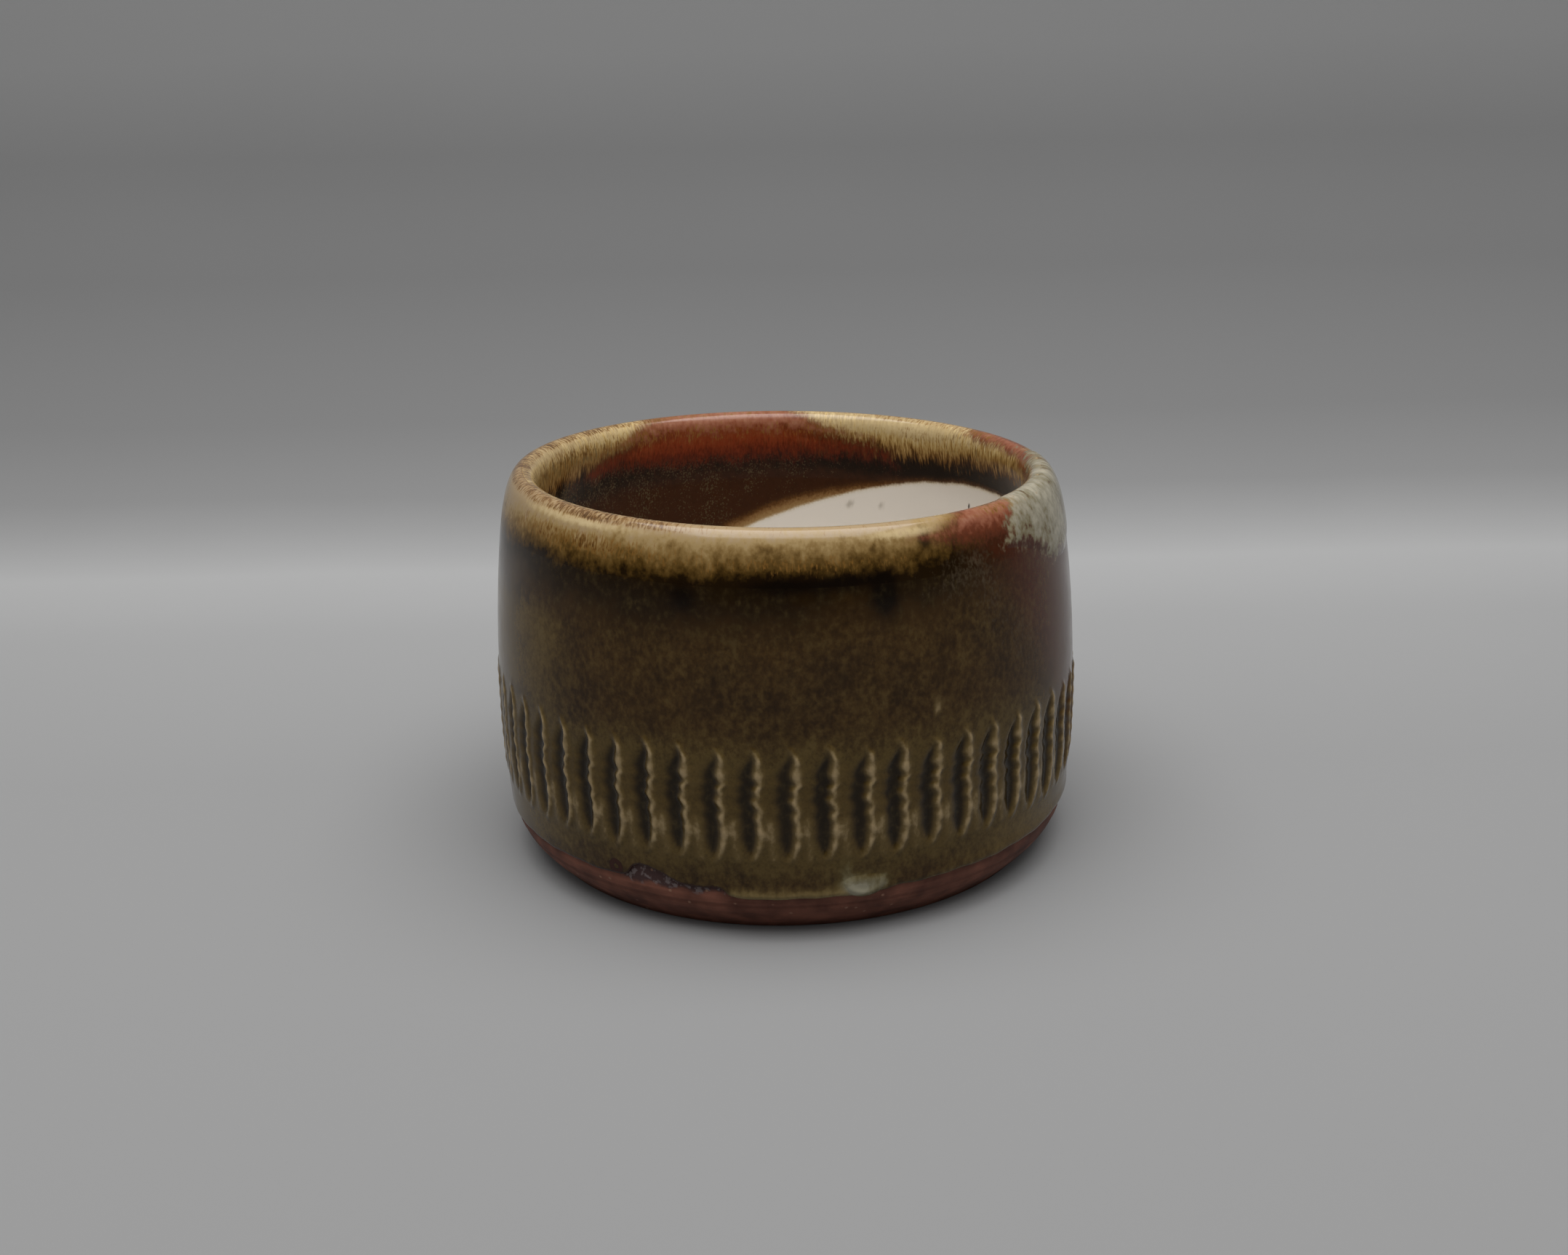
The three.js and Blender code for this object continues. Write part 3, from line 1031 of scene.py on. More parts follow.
@dataclass(frozen=True)
class RolledGlaze(FusedGlaze):
    """The glaze of the lip, which melted glassier on the crest and duller on the inside."""

    crest_specular: float = 0.4
    inside_specular: float = 0.07
    crest_depths: tuple[float, float] = (4.4, 6.4)
    inside_runs: tuple[float, float] = (1.0, 5.0)

    def shine(self, tree: bpy.types.NodeTree) -> float | bpy.types.NodeSocket:
        """How strongly the glaze mirrors the room, which changes over the lip.

        Args:
            tree: the material's tree.

        Returns:
            The socket that gives the mirror level.
        """
        level = self.specular
        changes = (
            ("ash", self.crest_depths, self.crest_specular),
            ("inner", self.inside_runs, self.inside_specular),
        )
        for field, (low, high), goal in changes:
            depth = node(tree, "ShaderNodeAttribute", attribute_name=field).outputs["Fac"]
            change = {"Value": depth, "From Min": low, "From Max": high, "To Min": level, "To Max": goal}
            level = node(tree, "ShaderNodeMapRange", change).outputs[0]
        return level


OUTSIDE_LAYERS = (
    "band", "khaki_and_painted_sheen", "dark", "red_wall", "pepper", "salt", "groove", "burr", "runs", "crystal", "ash",
    "rust", "red_front", "splash", "milk", "edge", "burnt",
)
RIM_LAYERS = (
    "dark", "red_wall", "pepper", "salt", "crystal", "inner", "black", "gold", "ash", "runs", "honey",
    "lines", "painted_highlight", "red_lip", "red_front", "painted_crest_light", "splash", "rust",
)
INSIDE_LAYERS = (
    "inner", "black", "gold", "honey", "lines", "red_lip", "painted_crest_light", "halo", "white", "smudge", "speck",
)
BEAD_LAYERS = ("band", "khaki_and_painted_sheen", "pepper", "salt", "milk")

IRON = FusedGlaze("olive_iron_glaze", "#463012", "#281906", OUTSIDE_LAYERS)
ASH = RolledGlaze("honey_ash_glaze", "#463012", "#281906", RIM_LAYERS)
BAND = FusedGlaze("dark_iron_glaze_inside", "#3a200e", "#221206", INSIDE_LAYERS, specular=0.07)
LINER = FusedGlaze("white_liner_glaze", "#3a200e", "#221206", INSIDE_LAYERS, specular=0.07)
CELADON = RolledGlaze("splash_of_pale_celadon_glaze", "#463012", "#281906", RIM_LAYERS)
GATHERED = FusedGlaze("gathered_pale_glaze", "#463012", "#281906", BEAD_LAYERS)


def smooth_mesh(name: str, shape: bmesh.types.BMesh) -> bpy.types.Mesh:
    """Turns a finished bmesh into a smooth-shaded mesh.

    Args:
        name: the mesh's name.
        shape: the bmesh, which is freed.

    Returns:
        The mesh.
    """
    mesh = bpy.data.meshes.new(name)
    shape.to_mesh(mesh)
    shape.free()
    mesh.polygons.foreach_set("use_smooth", [True] * len(mesh.polygons))
    return mesh


def turned_mesh(
    name: str,
    outline: list[tuple[float, float]],
    facts: dict[str, Field],
    columns: int,
) -> bpy.types.Mesh:
    """Spins a closed outline round the cup's axis into a shell.

    Args:
        name: the mesh's name.
        outline: radius and height of each corner, in millimetres.
        facts: numbers that each corner hands on to all its copies, by name.
        columns: how many steps go round.

    Returns:
        The mesh, with the facts as attributes and its faces pointing outwards.
    """
    shape = bmesh.new()
    keys = {key: shape.verts.layers.float.new(key) for key in facts}
    corners = []
    for index, (radius, height) in enumerate(outline):
        corner = shape.verts.new((0.0, -radius * MM, height * MM))
        for key, layer in keys.items():
            corner[layer] = facts[key][index]
        corners.append(corner)
    closes = outline[0][0] > 0 or outline[-1][0] > 0
    ends = corners[1:] + corners[:1] if closes else corners[1:]
    edges = [shape.edges.new(pair) for pair in zip(corners, ends)]
    wedge = 2 * math.pi / CHATTER.count
    about = {"cent": (0.0, 0.0, 0.0), "axis": (0.0, 0.0, 1.0)}
    bmesh.ops.spin(shape, geom=corners + edges, angle=wedge, steps=columns // CHATTER.count, **about)
    whole = shape.verts[:] + shape.edges[:] + shape.faces[:]
    rest = CHATTER.count - 1
    bmesh.ops.spin(shape, geom=whole, angle=wedge * rest, steps=rest, use_duplicate=True, **about)
    bmesh.ops.remove_doubles(shape, verts=shape.verts[:], dist=1e-7)
    bmesh.ops.recalc_face_normals(shape, faces=shape.faces[:])
    return smooth_mesh(name, shape)


def read_points(mesh: bpy.types.Mesh) -> Field:
    """Where the vertices of a mesh lie.

    Args:
        mesh: the mesh.

    Returns:
        Places in millimetres, one row for each vertex.
    """
    flat = np.zeros(len(mesh.vertices) * 3, np.float32)
    mesh.vertices.foreach_get("co", flat)
    return flat.reshape(-1, 3).astype(float) / MM


def move_points(mesh: bpy.types.Mesh, places: Field) -> None:
    """Moves the vertices to places in metres."""
    mesh.vertices.foreach_set("co", places.astype(np.float32).ravel())


def take_fact(mesh: bpy.types.Mesh, name: str) -> Field:
    """Reads a number that each vertex carries, and takes it off the mesh.

    Args:
        mesh: the mesh.
        name: the number's name.

    Returns:
        The numbers, in the order of the vertices.
    """
    values = np.zeros(len(mesh.vertices), np.float32)
    mesh.attributes[name].data.foreach_get("value", values)
    mesh.attributes.remove(mesh.attributes[name])
    return values.astype(float)


def write_fact(mesh: bpy.types.Mesh, name: str, values: Field) -> None:
    """Gives each vertex a number, or three numbers, under a name.

    Args:
        mesh: the mesh.
        name: the name.
        values: one number for each vertex, or one row of three.
    """
    kind, key = ("FLOAT", "value") if values.ndim == 1 else ("FLOAT_VECTOR", "vector")
    made = mesh.attributes.new(name, kind, "POINT")
    made.data.foreach_set(key, values.astype(np.float32).ravel())


def crease(mesh: bpy.types.Mesh, marked: Field) -> None:
    """Makes the edges between marked vertices sharp, so that the seam of two coats doesn't show.

    Args:
        mesh: the mesh.
        marked: which vertices lie on a seam.
    """
    ends = np.zeros(len(mesh.edges) * 2, np.int32)
    mesh.edges.foreach_get("vertices", ends)
    sharp = marked[ends].reshape(-1, 2).all(axis=1)
    made = mesh.attributes.get("sharp_edge") or mesh.attributes.new("sharp_edge", "BOOLEAN", "EDGE")
    made.data.foreach_set("value", sharp)


def bearing_of(points: Field) -> Field:
    """The bearing of each point, in degrees."""
    return np.degrees(np.arctan2(points[:, 0], -points[:, 1]))


def lay_on_cup(
    mesh: bpy.types.Mesh,
    bearing: Field,
    run: Field,
    lift: Field,
    layers: tuple[str, ...],
) -> None:
    """Moves a glaze's vertices onto the cup's face and writes where each glaze lies on it.

    Args:
        mesh: the glaze's mesh.
        bearing: where each vertex lies round the cup.
        run: its distance along the section from the crest.
        lift: how far it stands off the face, in millimetres.
        layers: the names of the glazes that its finish reads.
    """
    radius, height, out, up = SECTION.at(run)
    move_points(mesh, SECTION.stand(bearing, radius + lift * out, height + lift * up))
    fields = GLAZES.fields(bearing, run, height)
    for name in layers:
        write_fact(mesh, name, fields[name])
    angle = np.radians(bearing)
    girth = SECTION.crest_radius
    write_fact(mesh, "flow", np.stack([girth * np.sin(angle), -girth * np.cos(angle), run], axis=1))


def hand_over(
    name: str,
    mesh: bpy.types.Mesh,
    material: bpy.types.Material,
    stands_for: tuple[str, ...],
) -> bpy.types.Object:
    """Puts a finished mesh in the scene as a piece of the cup.

    Args:
        name: the piece's name.
        mesh: its mesh, in place.
        material: its finish.
        stands_for: the CAD nodes it replaces.

    Returns:
        The new object.
    """
    mesh.materials.append(material)
    mesh.update()
    piece = bpy.data.objects.new(name, mesh)
    bpy.context.scene.collection.objects.link(piece)
    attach(piece, "root")
    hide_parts(*stands_for)
    triangles = sum(len(face.vertices) - 2 for face in mesh.polygons)
    LOG.info("%s: %d triangles", name, triangles)
    return piece


@dataclass
class GlazeCoat:
    """A coat of glaze fused on the clay: a closed shell that follows the cup's section."""

    name: str
    stands_for: tuple[str, ...]
    slot: str
    finish: FusedGlaze
    columns: int = 385
    thickness: float = 0.5
    sink: float = 0.1

    def rows(self) -> list[Row]:
        """The shell's outline, row by row."""
        raise NotImplementedError

    def shell(self, front: Field, back: Field, seams: tuple[float, ...]) -> list[Row]:
        """The outline of a shell of even thickness.

        Args:
            front: the runs of the rows on its face.
            back: the runs of the rows on its hidden back.
            seams: the runs at which it meets another coat.

        Returns:
            The rows.
        """
        rows = [(run, 0.0, float(run in seams)) for run in front]
        return rows + [(run, self.thickness + self.sink, 0.0) for run in back]

    def settle(self, bearing: Field, run: Field, under: Field) -> tuple[Field, Field, Field]:
        """Where the glaze came to rest.

        Args:
            bearing: the even bearings of the columns.
            run: the run of each row.
            under: how far each row lies under the face.

        Returns:
            The bearing, run and stand-off from the face of each point.
        """
        return bearing, run, -under

    def build(self) -> bpy.types.Object:
        """Spins the coat, lets it settle, writes where each glaze lies on it and dresses it.

        Returns:
            The new piece.
        """
        run, under, seam = np.array(self.rows()).T
        radius, height, out, up = SECTION.at(run)
        outline = list(zip(np.maximum(radius - under * out, 0.0), height - under * up))
        mesh = turned_mesh(self.name, outline, {"run": run, "under": under, "seam": seam}, self.columns)
        even = bearing_of(read_points(mesh))
        crease(mesh, take_fact(mesh, "seam") > 0.5)
        settled = self.settle(even, take_fact(mesh, "run"), take_fact(mesh, "under"))
        lay_on_cup(mesh, *settled, self.finish.layers)
        return hand_over(self.name, mesh, self.finish.material(), self.stands_for)


@dataclass
class OuterGlaze(GlazeCoat):
    """The iron glaze on the outside wall, from its rolled lower edge to the foot of the lip."""

    columns: int = 770
    nominal_line: float = 7.6
    still_height: float = 13.0
    band_low: float = 12.2
    band_high: float = 30.4
    hidden: float = 1.25
    roll_front: float = 0.35
    roll_right: float = 0.15

    def rows(self) -> list[Row]:
        """Fine rows over the chattered band, coarser ones above, and a plain hidden back.

        Returns:
            The rows.
        """
        low, top = self.nominal_line, SECTION.outer_lip
        heights = [low + step for step in (0.0, 0.04, 0.12, 0.24, 0.4, 0.6, 0.85, 1.15, 1.5)]
        heights += list(np.arange(low + 1.85, self.band_low, 0.36))
        heights += list(np.arange(self.band_low, self.band_high, 0.3))
        heights += list(np.linspace(self.band_high, top, 18))
        rows = [(SECTION.run_outside(height), 0.0, float(height == top)) for height in heights]
        back = ((top, 0.55), (33.0, 0.6), (30.5, self.hidden), (12.0, self.hidden), (10.6, 0.55), (low, 0.55))
        return rows + [(SECTION.run_outside(height), under, 0.0) for height, under in back]

    def settle(self, bearing: Field, run: Field, under: Field) -> tuple[Field, Field, Field]:
        """Lets the glaze sag to its line, round off its edge and follow the chatter marks.

        Args:
            bearing: the even bearings of the columns.
            run: the run of each row.
            under: how far each row lies under the face.

        Returns:
            The bearing, run and stand-off from the face of each point.
        """
        height = SECTION.at(run)[1]
        bearing = CHATTER.crowd(bearing, height)
        line = GLAZES.glaze_line(bearing)
        part = (height - self.nominal_line) / (self.still_height - self.nominal_line)
        sagged = line + part * (self.still_height - line)
        height = np.where(height < self.still_height, sagged, height)
        above = np.maximum(height - line, 0.0)
        side = turn_from(bearing, 0.0)
        swell = self.roll_front * between(side, -13, -10, 9, 12) + self.roll_right * ease(side, 15, 22)
        thick = self.thickness + swell * hump(above, 0.7, 0.9)
        bent = thick * np.sqrt(1 - (1 - np.clip(above / thick, 0, 1)) ** 2)
        face = bent - self.thickness + CHATTER.relief(bearing, height)
        return bearing, SECTION.run_outside(height), np.where(under < 0.01, face, -under)


@dataclass
class RimGlaze(GlazeCoat):
    """The ash glaze over the lip, from the outside wall to the inside."""

    columns: int = 770

    def rows(self) -> list[Row]:
        """Even rows over the lip and a plain hidden back.

        Returns:
            The rows.
        """
        outer = SECTION.run_outside(SECTION.outer_lip)
        inner = SECTION.run_inside(SECTION.inner_lip)
        return self.shell(np.linspace(outer, inner, 42), np.linspace(inner, outer, 8), (outer, inner))


@dataclass
class DippedGlaze(GlazeCoat):
    """A coat inside the cup that ends at the slanted line of the dip."""

    still_height: float = 0.0

    @property
    def ends(self) -> tuple[float, float]:
        """The run that stays where it is, and that of the dip line's middle height."""
        return SECTION.run_inside(self.still_height), SECTION.run_inside(GLAZES.dip_height)

    def settle(self, bearing: Field, run: Field, under: Field) -> tuple[Field, Field, Field]:
        """Stretches the rows so that the one at the dip line's middle height lies on the slanted line.

        Args:
            bearing: the even bearings of the columns.
            run: the run of each row.
            under: how far each row lies under the face.

        Returns:
            The bearing, run and stand-off from the face of each point.
        """
        still, dip = self.ends
        part = (run - still) / (dip - still)
        goal = SECTION.run_inside(GLAZES.dip_line(bearing))
        return bearing, np.where(part > 0, still + part * (goal - still), run), -under


@dataclass
class InnerBandGlaze(DippedGlaze):
    """The dark glaze inside, from below the lip to the dip line."""

    still_height: float = SECTION.inner_lip

    def rows(self) -> list[Row]:
        """Even rows down the wall, and a plain hidden back."""
        top, low = self.ends
        return self.shell(np.linspace(top, low, 48), np.linspace(low, top, 8), (top, low))


@dataclass
class LinerGlaze(DippedGlaze):
    """The white liner, from the dip line down the wall and over the floor."""

    still_height: float = SECTION.corner_height

    def rows(self) -> list[Row]:
        """Rows down the wall, round the corner and in to the middle of the floor, and a hidden back.

        Returns:
            The rows.
        """
        turn, top = self.ends
        middle = SECTION.face["run"][0]
        front = np.concatenate([np.linspace(top, turn, 26), np.linspace(turn, middle, 34)[1:]])
        back = np.concatenate([np.linspace(middle, turn, 12), np.linspace(turn, top, 5)[1:]])
        return self.shell(front, back, (top,))


@dataclass(frozen=True)
class RedStoneware:
    """Bare iron-bearing stoneware, turned on the wheel and fired without glaze."""

    name: str = "bare_red_stoneware"
    light: str = "#7e5142"
    deep: str = "#54342a"
    # The colour of the darker band of bare clay along the turned groove.
    turned_band_colour: str = "#3c2018"
    crust: str = "#402f2e"
    crust_light: str = "#6c6160"
    grog: str = "#8c6a58"
    mottle: float = 4.0
    grain: float = 0.9
    turning: float = 0.7
    turning_length: float = 30.0
    grog_spacing: float = 1.3
    grog_share: float = 0.14
    roughness: tuple[float, float] = (0.5, 0.7)
    ripple: float = 0.1

    def material(self) -> bpy.types.Material:
        """Makes the clay's material.

        Turned stoneware is matt and a little grainy, with fine level lines from the turning tool,
        pale grains of grog, and a metallic crust where glaze has crawled off it.

        Returns:
            The new material.
        """
        made = bpy.data.materials.new(self.name)
        tree = empty_tree(made)
        place = node(tree, "ShaderNodeTexCoord").outputs["Object"]
        level = tuple(1 / (size * MM) for size in (self.turning_length, self.turning_length, self.turning))
        rings = node(tree, "ShaderNodeMapping", {"Vector": place, "Scale": level}).outputs[0]
        sizes = (
            (place, 1 / (self.mottle * MM), 4.0),
            (place, 1 / (self.grain * MM), 3.0),
            (rings, 1.0, 2.0),
        )
        noises = []
        for vector, scale, octaves in sizes:
            settings = {"Vector": vector, "Scale": scale, "Detail": octaves}
            noises.append(node(tree, "ShaderNodeTexNoise", settings).outputs["Fac"])
        mottle, grain, lines = noises
        mixed = 0.0
        for noise, share in ((mottle, 0.8), (lines, 0.2)):
            shares = {0: noise, 1: share, 2: mixed}
            mixed = node(tree, "ShaderNodeMath", shares, operation="MULTIPLY_ADD").outputs[0]
        stops = [(0.36, self.deep), (0.64, self.light)]
        colour = node(tree, "ShaderNodeValToRGB", {0: mixed}, stops=stops).outputs[0]
        cells = {"Vector": place, "Scale": 1 / (self.grog_spacing * MM)}
        spots = node(tree, "ShaderNodeTexVoronoi", cells).outputs
        chosen = node(tree, "ShaderNodeSeparateColor", {0: spots["Color"]}).outputs[0]
        few = {0: chosen, 1: 1 - self.grog_share}
        rare = node(tree, "ShaderNodeMath", few, operation="GREATER_THAN").outputs[0]
        round_off = {"Value": spots["Distance"], "From Min": 0.24, "From Max": 0.1}
        near = node(tree, "ShaderNodeMapRange", round_off).outputs[0]
        speck = node(tree, "ShaderNodeMath", {0: rare, 1: near}, operation="MULTIPLY").outputs[0]
        centred = {0: grain, 1: 1.0, 2: -0.5}
        offset = node(tree, "ShaderNodeMath", centred, operation="MULTIPLY_ADD").outputs[0]
        masks = []
        for field, cover in (("turned_band", 0.4), ("crust", 0.95)):
            depth = node(tree, "ShaderNodeAttribute", attribute_name=field).outputs["Fac"]
            ragged = node(tree, "ShaderNodeMath", {0: depth, 1: offset}, operation="ADD").outputs[0]
            fade = {"Value": ragged, "From Min": -0.3, "From Max": 0.3, "To Max": cover}
            masks.append(node(tree, "ShaderNodeMapRange", fade).outputs[0])
        ridges = {"Value": grain, "From Min": 0.52, "From Max": 0.6}
        squiggle = node(tree, "ShaderNodeMapRange", ridges).outputs[0]
        crusts = {MIX_FACTOR: squiggle, MIX_UNDER: linear(self.crust), MIX_OVER: linear(self.crust_light)}
        crusty = node(tree, "ShaderNodeMix", crusts, data_type="RGBA").outputs[MIX_RESULT]
        overs = (linear(self.turned_band_colour), crusty, linear(self.grog))
        for mask, over in zip((*masks, speck), overs):
            sockets = {MIX_FACTOR: mask, MIX_UNDER: colour, MIX_OVER: over}
            colour = node(tree, "ShaderNodeMix", sockets, data_type="RGBA").outputs[MIX_RESULT]
        grit = {0: grain, 1: 0.5, 2: lines}
        height = node(tree, "ShaderNodeMath", grit, operation="MULTIPLY_ADD").outputs[0]
        uneven = {"Height": height, "Strength": 0.5, "Distance": self.ripple * MM}
        smooth, dry = self.roughness
        wear = {"Value": mottle, "To Min": smooth, "To Max": dry}
        surface = {
            "Base Color": colour,
            "Roughness": node(tree, "ShaderNodeMapRange", wear).outputs[0],
            "Normal": node(tree, "ShaderNodeBump", uneven).outputs[0],
            "IOR": 1.45,
            "Specular IOR Level": 0.15,
        }
        shader = node(tree, "ShaderNodeBsdfPrincipled", surface).outputs[0]
        node(tree, "ShaderNodeOutputMaterial", {"Surface": shader})
        return made


@dataclass
class ClayBody:
    """The thrown and turned stoneware under the glaze, bare from the foot to the glaze line."""

    name: str = "stoneware_body_turned"
    columns: int = 385
    foot_radius: float = 39.3
    foot_chamfer: float = 0.5
    ring_width: float = 5.8
    recess_depth: float = 2.2
    recess_slope: float = 2.0
    bevel_height: float = 6.8
    bevel_knee: float = 2.8
    glaze: float = 0.5
    bare_top: float = 11.0
    turned_band_height: float = 5.05
    crust_foot: float = 7.25
    crust_left: float = -33.0
    crust_right: float = -12.3
    finish: RedStoneware = RedStoneware()
    # Heights of the wall under the glaze, and how far it lies under the glazed face there.
    hidden: Line = ((12.4, 1.45), (20.0, 1.45), (30.0, 1.45), (33.5, 0.75), (42.0, 0.75), (51.0, 0.75))
    hidden_inside: float = 0.75
    # Fine lines left by the turning tool: their depth, how closely they follow, and their shift.
    turning_lines: tuple[tuple[float, float, float], ...] = ((0.016, 7.0, 0.0), (0.012, 12.3, 1.0))
    groove_depth: float = 0.06
    groove_height: float = 5.1
    groove_half: float = 0.35

    def outline(self) -> list[tuple[float, float]]:
        """The body's section, from the middle of the underside round the foot and lip to the inside.

        Returns:
            Radius and height of each corner.
        """
        recess = self.foot_radius - self.foot_chamfer - self.ring_width
        flat = recess - self.recess_slope
        points = [(flat * step / 6, self.recess_depth) for step in range(7)]
        for part in np.linspace(0.15, 0.85, 5):
            depth = self.recess_depth * (1 - part * part * (3 - 2 * part))
            points.append((flat + self.recess_slope * part, depth))
        ring_end = self.foot_radius - self.foot_chamfer
        points += [(recess + 0.15, 0.0), (recess + 2.6, 0.0), (ring_end, 0.0)]
        points.append((self.foot_radius - 0.15, 0.15))
        top = SECTION.radius(self.bevel_height) - self.glaze
        knee = top - SECTION.slope(self.bevel_height) * self.bevel_knee
        bevel = [
            (self.foot_radius, self.foot_chamfer),
            (knee, self.bevel_height - self.bevel_knee),
            (top, self.bevel_height),
        ]
        points += list(zip(*bezier(bevel, 27)))
        bare = [(height, self.glaze) for height in np.arange(7.05, 11.3, 0.25)]
        points += [(SECTION.radius(height) - sunk, height) for height, sunk in (*bare, *self.hidden)]
        inside = np.linspace(SECTION.run_outside(SECTION.outer_lip), SECTION.face["run"][0], 60)
        radius, height, out, up = SECTION.at(inside)
        radius = np.maximum(radius - self.hidden_inside * out, 0.0)
        return points + list(zip(radius, height - self.hidden_inside * up))

    def build(self) -> bpy.types.Object:
        """Spins the body, cuts the turning lines and dresses it.

        Returns:
            The new piece.
        """
        mesh = turned_mesh(self.name, self.outline(), {}, self.columns)
        points = read_points(mesh)
        bearing = bearing_of(points)
        radius = np.hypot(points[:, 0], points[:, 1])
        height = points[:, 2]
        shown = (radius > self.foot_radius - 0.1) & (height > 0.4) & (height < self.bare_top)
        ridges = sum(depth * np.sin(height * pace + shift) for depth, pace, shift in self.turning_lines)
        groove = self.groove_depth * hump(height, self.groove_height, self.groove_half)
        move_points(mesh, SECTION.stand(bearing, radius + shown * (ridges - groove), height))
        side = turn_from(bearing, 0.0)
        ends = np.minimum(side - self.crust_left, self.crust_right - side) * 0.7
        crust = np.minimum(height - self.crust_foot + 0.3 * np.sin(side), ends)
        # A darker band of bare clay along the turned groove at about 5 mm.
        turned_band = 0.35 - np.abs(height - self.turned_band_height) * 1.2
        write_fact(mesh, "crust", np.clip(crust, -4, 4))
        write_fact(mesh, "turned_band", np.clip(turned_band, -4, 4))
        return hand_over(self.name, mesh, self.finish.material(), ("stoneware_body",))


@dataclass
class ShoulderSplash:
    """The pale splash of glaze that ran over the rim on the right: a thin film on the coats below it."""

    name: str = "shoulder_splash_film"
    finish: FusedGlaze = CELADON
    start: float = 45.0
    end: float = 99.0
    columns: int = 130
    rows: int = 46
    low: float = 47.6
    over: float = -3.4
    thickness: float = 0.32
    sunk: float = 0.06
    back: float = 0.2
    # The depths in the splash at which its film begins and is full.
    film_depths: tuple[float, float] = (-0.9, 1.6)
    # The radius at which the flat sheet is bent before it is laid on the cup.
    bend: float = 100.0

    def sheet(self) -> bpy.types.Mesh:
        """Bends a sheet of the splash's columns and rows, and closes it with a back.

        Returns:
            The mesh, whose vertices carry their run and whether they lie on the back.
        """
        shape = bmesh.new()
        run_key = shape.verts.layers.float.new("run")
        back_key = shape.verts.layers.float.new("back")
        column = []
        for run in np.linspace(SECTION.run_outside(self.low), self.over, self.rows):
            corner = shape.verts.new((0.0, 0.0, -run * MM))
            corner[run_key] = run
            column.append(corner)
        edges = [shape.edges.new(pair) for pair in zip(column, column[1:])]
        bmesh.ops.spin(
            shape,
            geom=column + edges,
            cent=(0.0, self.bend * MM, 0.0),
            axis=(0.0, 0.0, 1.0),
            angle=math.radians(self.end - self.start),
            steps=self.columns,
        )
        copy = bmesh.ops.duplicate(shape, geom=shape.verts[:] + shape.edges[:] + shape.faces[:])
        for item in copy["geom"]:
            if isinstance(item, bmesh.types.BMVert):
                item[back_key] = 1.0
        bmesh.ops.bridge_loops(shape, edges=[edge for edge in shape.edges if edge.is_boundary])
        bmesh.ops.recalc_face_normals(shape, faces=shape.faces[:])
        return smooth_mesh(self.name, shape)

    def build(self) -> bpy.types.Object:
        """Lays the sheet over the splash's part of the rim, thick where the splash is, and dresses it.

        Returns:
            The new piece.
        """
        mesh = self.sheet()
        points = read_points(mesh)
        bearing = self.start + np.degrees(np.arctan2(points[:, 0], self.bend - points[:, 1]))
        run = take_fact(mesh, "run")
        depth = GLAZES.splash(FacePoints(bearing, run, SECTION.at(run)[1]))
        film = self.thickness * ease(depth, *self.film_depths) - self.sunk
        lift = np.where(take_fact(mesh, "back") > 0.5, -self.back, film)
        lay_on_cup(mesh, bearing, run, lift, self.finish.layers)
        return hand_over(self.name, mesh, self.finish.material(), ("shoulder_splash",))


@dataclass
class FootBead:
    """The drop of pale glaze that stopped at the glaze line, right of the front."""

    name: str = "foot_bead_drop"
    bearing: float = 13.4
    height: float = 8.7
    half_width: float = 3.4
    half_height: float = 2.3
    proud: float = 0.6
    back: float = 0.35
    sunk: float = 0.12
    finish: FusedGlaze = GATHERED

    def build(self) -> bpy.types.Object:
        """Flattens a ball into a drop that swells along its lower rim, and lays it on the wall.

        Returns:
            The new piece.
        """
        shape = bmesh.new()
        bmesh.ops.create_uvsphere(shape, u_segments=56, v_segments=36, radius=1.0)
        mesh = smooth_mesh(self.name, shape)
        across, along_wall, up = (read_points(mesh) * MM).T
        low_rim = hump(np.hypot(across, along_wall), 0.72, 0.22) * ease(-along_wall + 0.35, -0.2, 0.9)
        swell = 0.55 + 0.55 * low_rim * (0.65 + 0.35 * ease(-across, -0.5, 0.6))
        top = ease(along_wall, 0.1, 1.0)
        front = up * self.proud * swell * (1 - 0.75 * top)
        lift = np.where(up > 0, front, self.back * up) - self.sunk - self.sunk * top
        bearing = self.bearing + np.degrees(across * self.half_width / SECTION.belly_radius)
        run = SECTION.run_outside(self.height + along_wall * self.half_height)
        lay_on_cup(mesh, bearing, run, lift, self.finish.layers)
        return hand_over(self.name, mesh, self.finish.material(), ("foot_bead",))


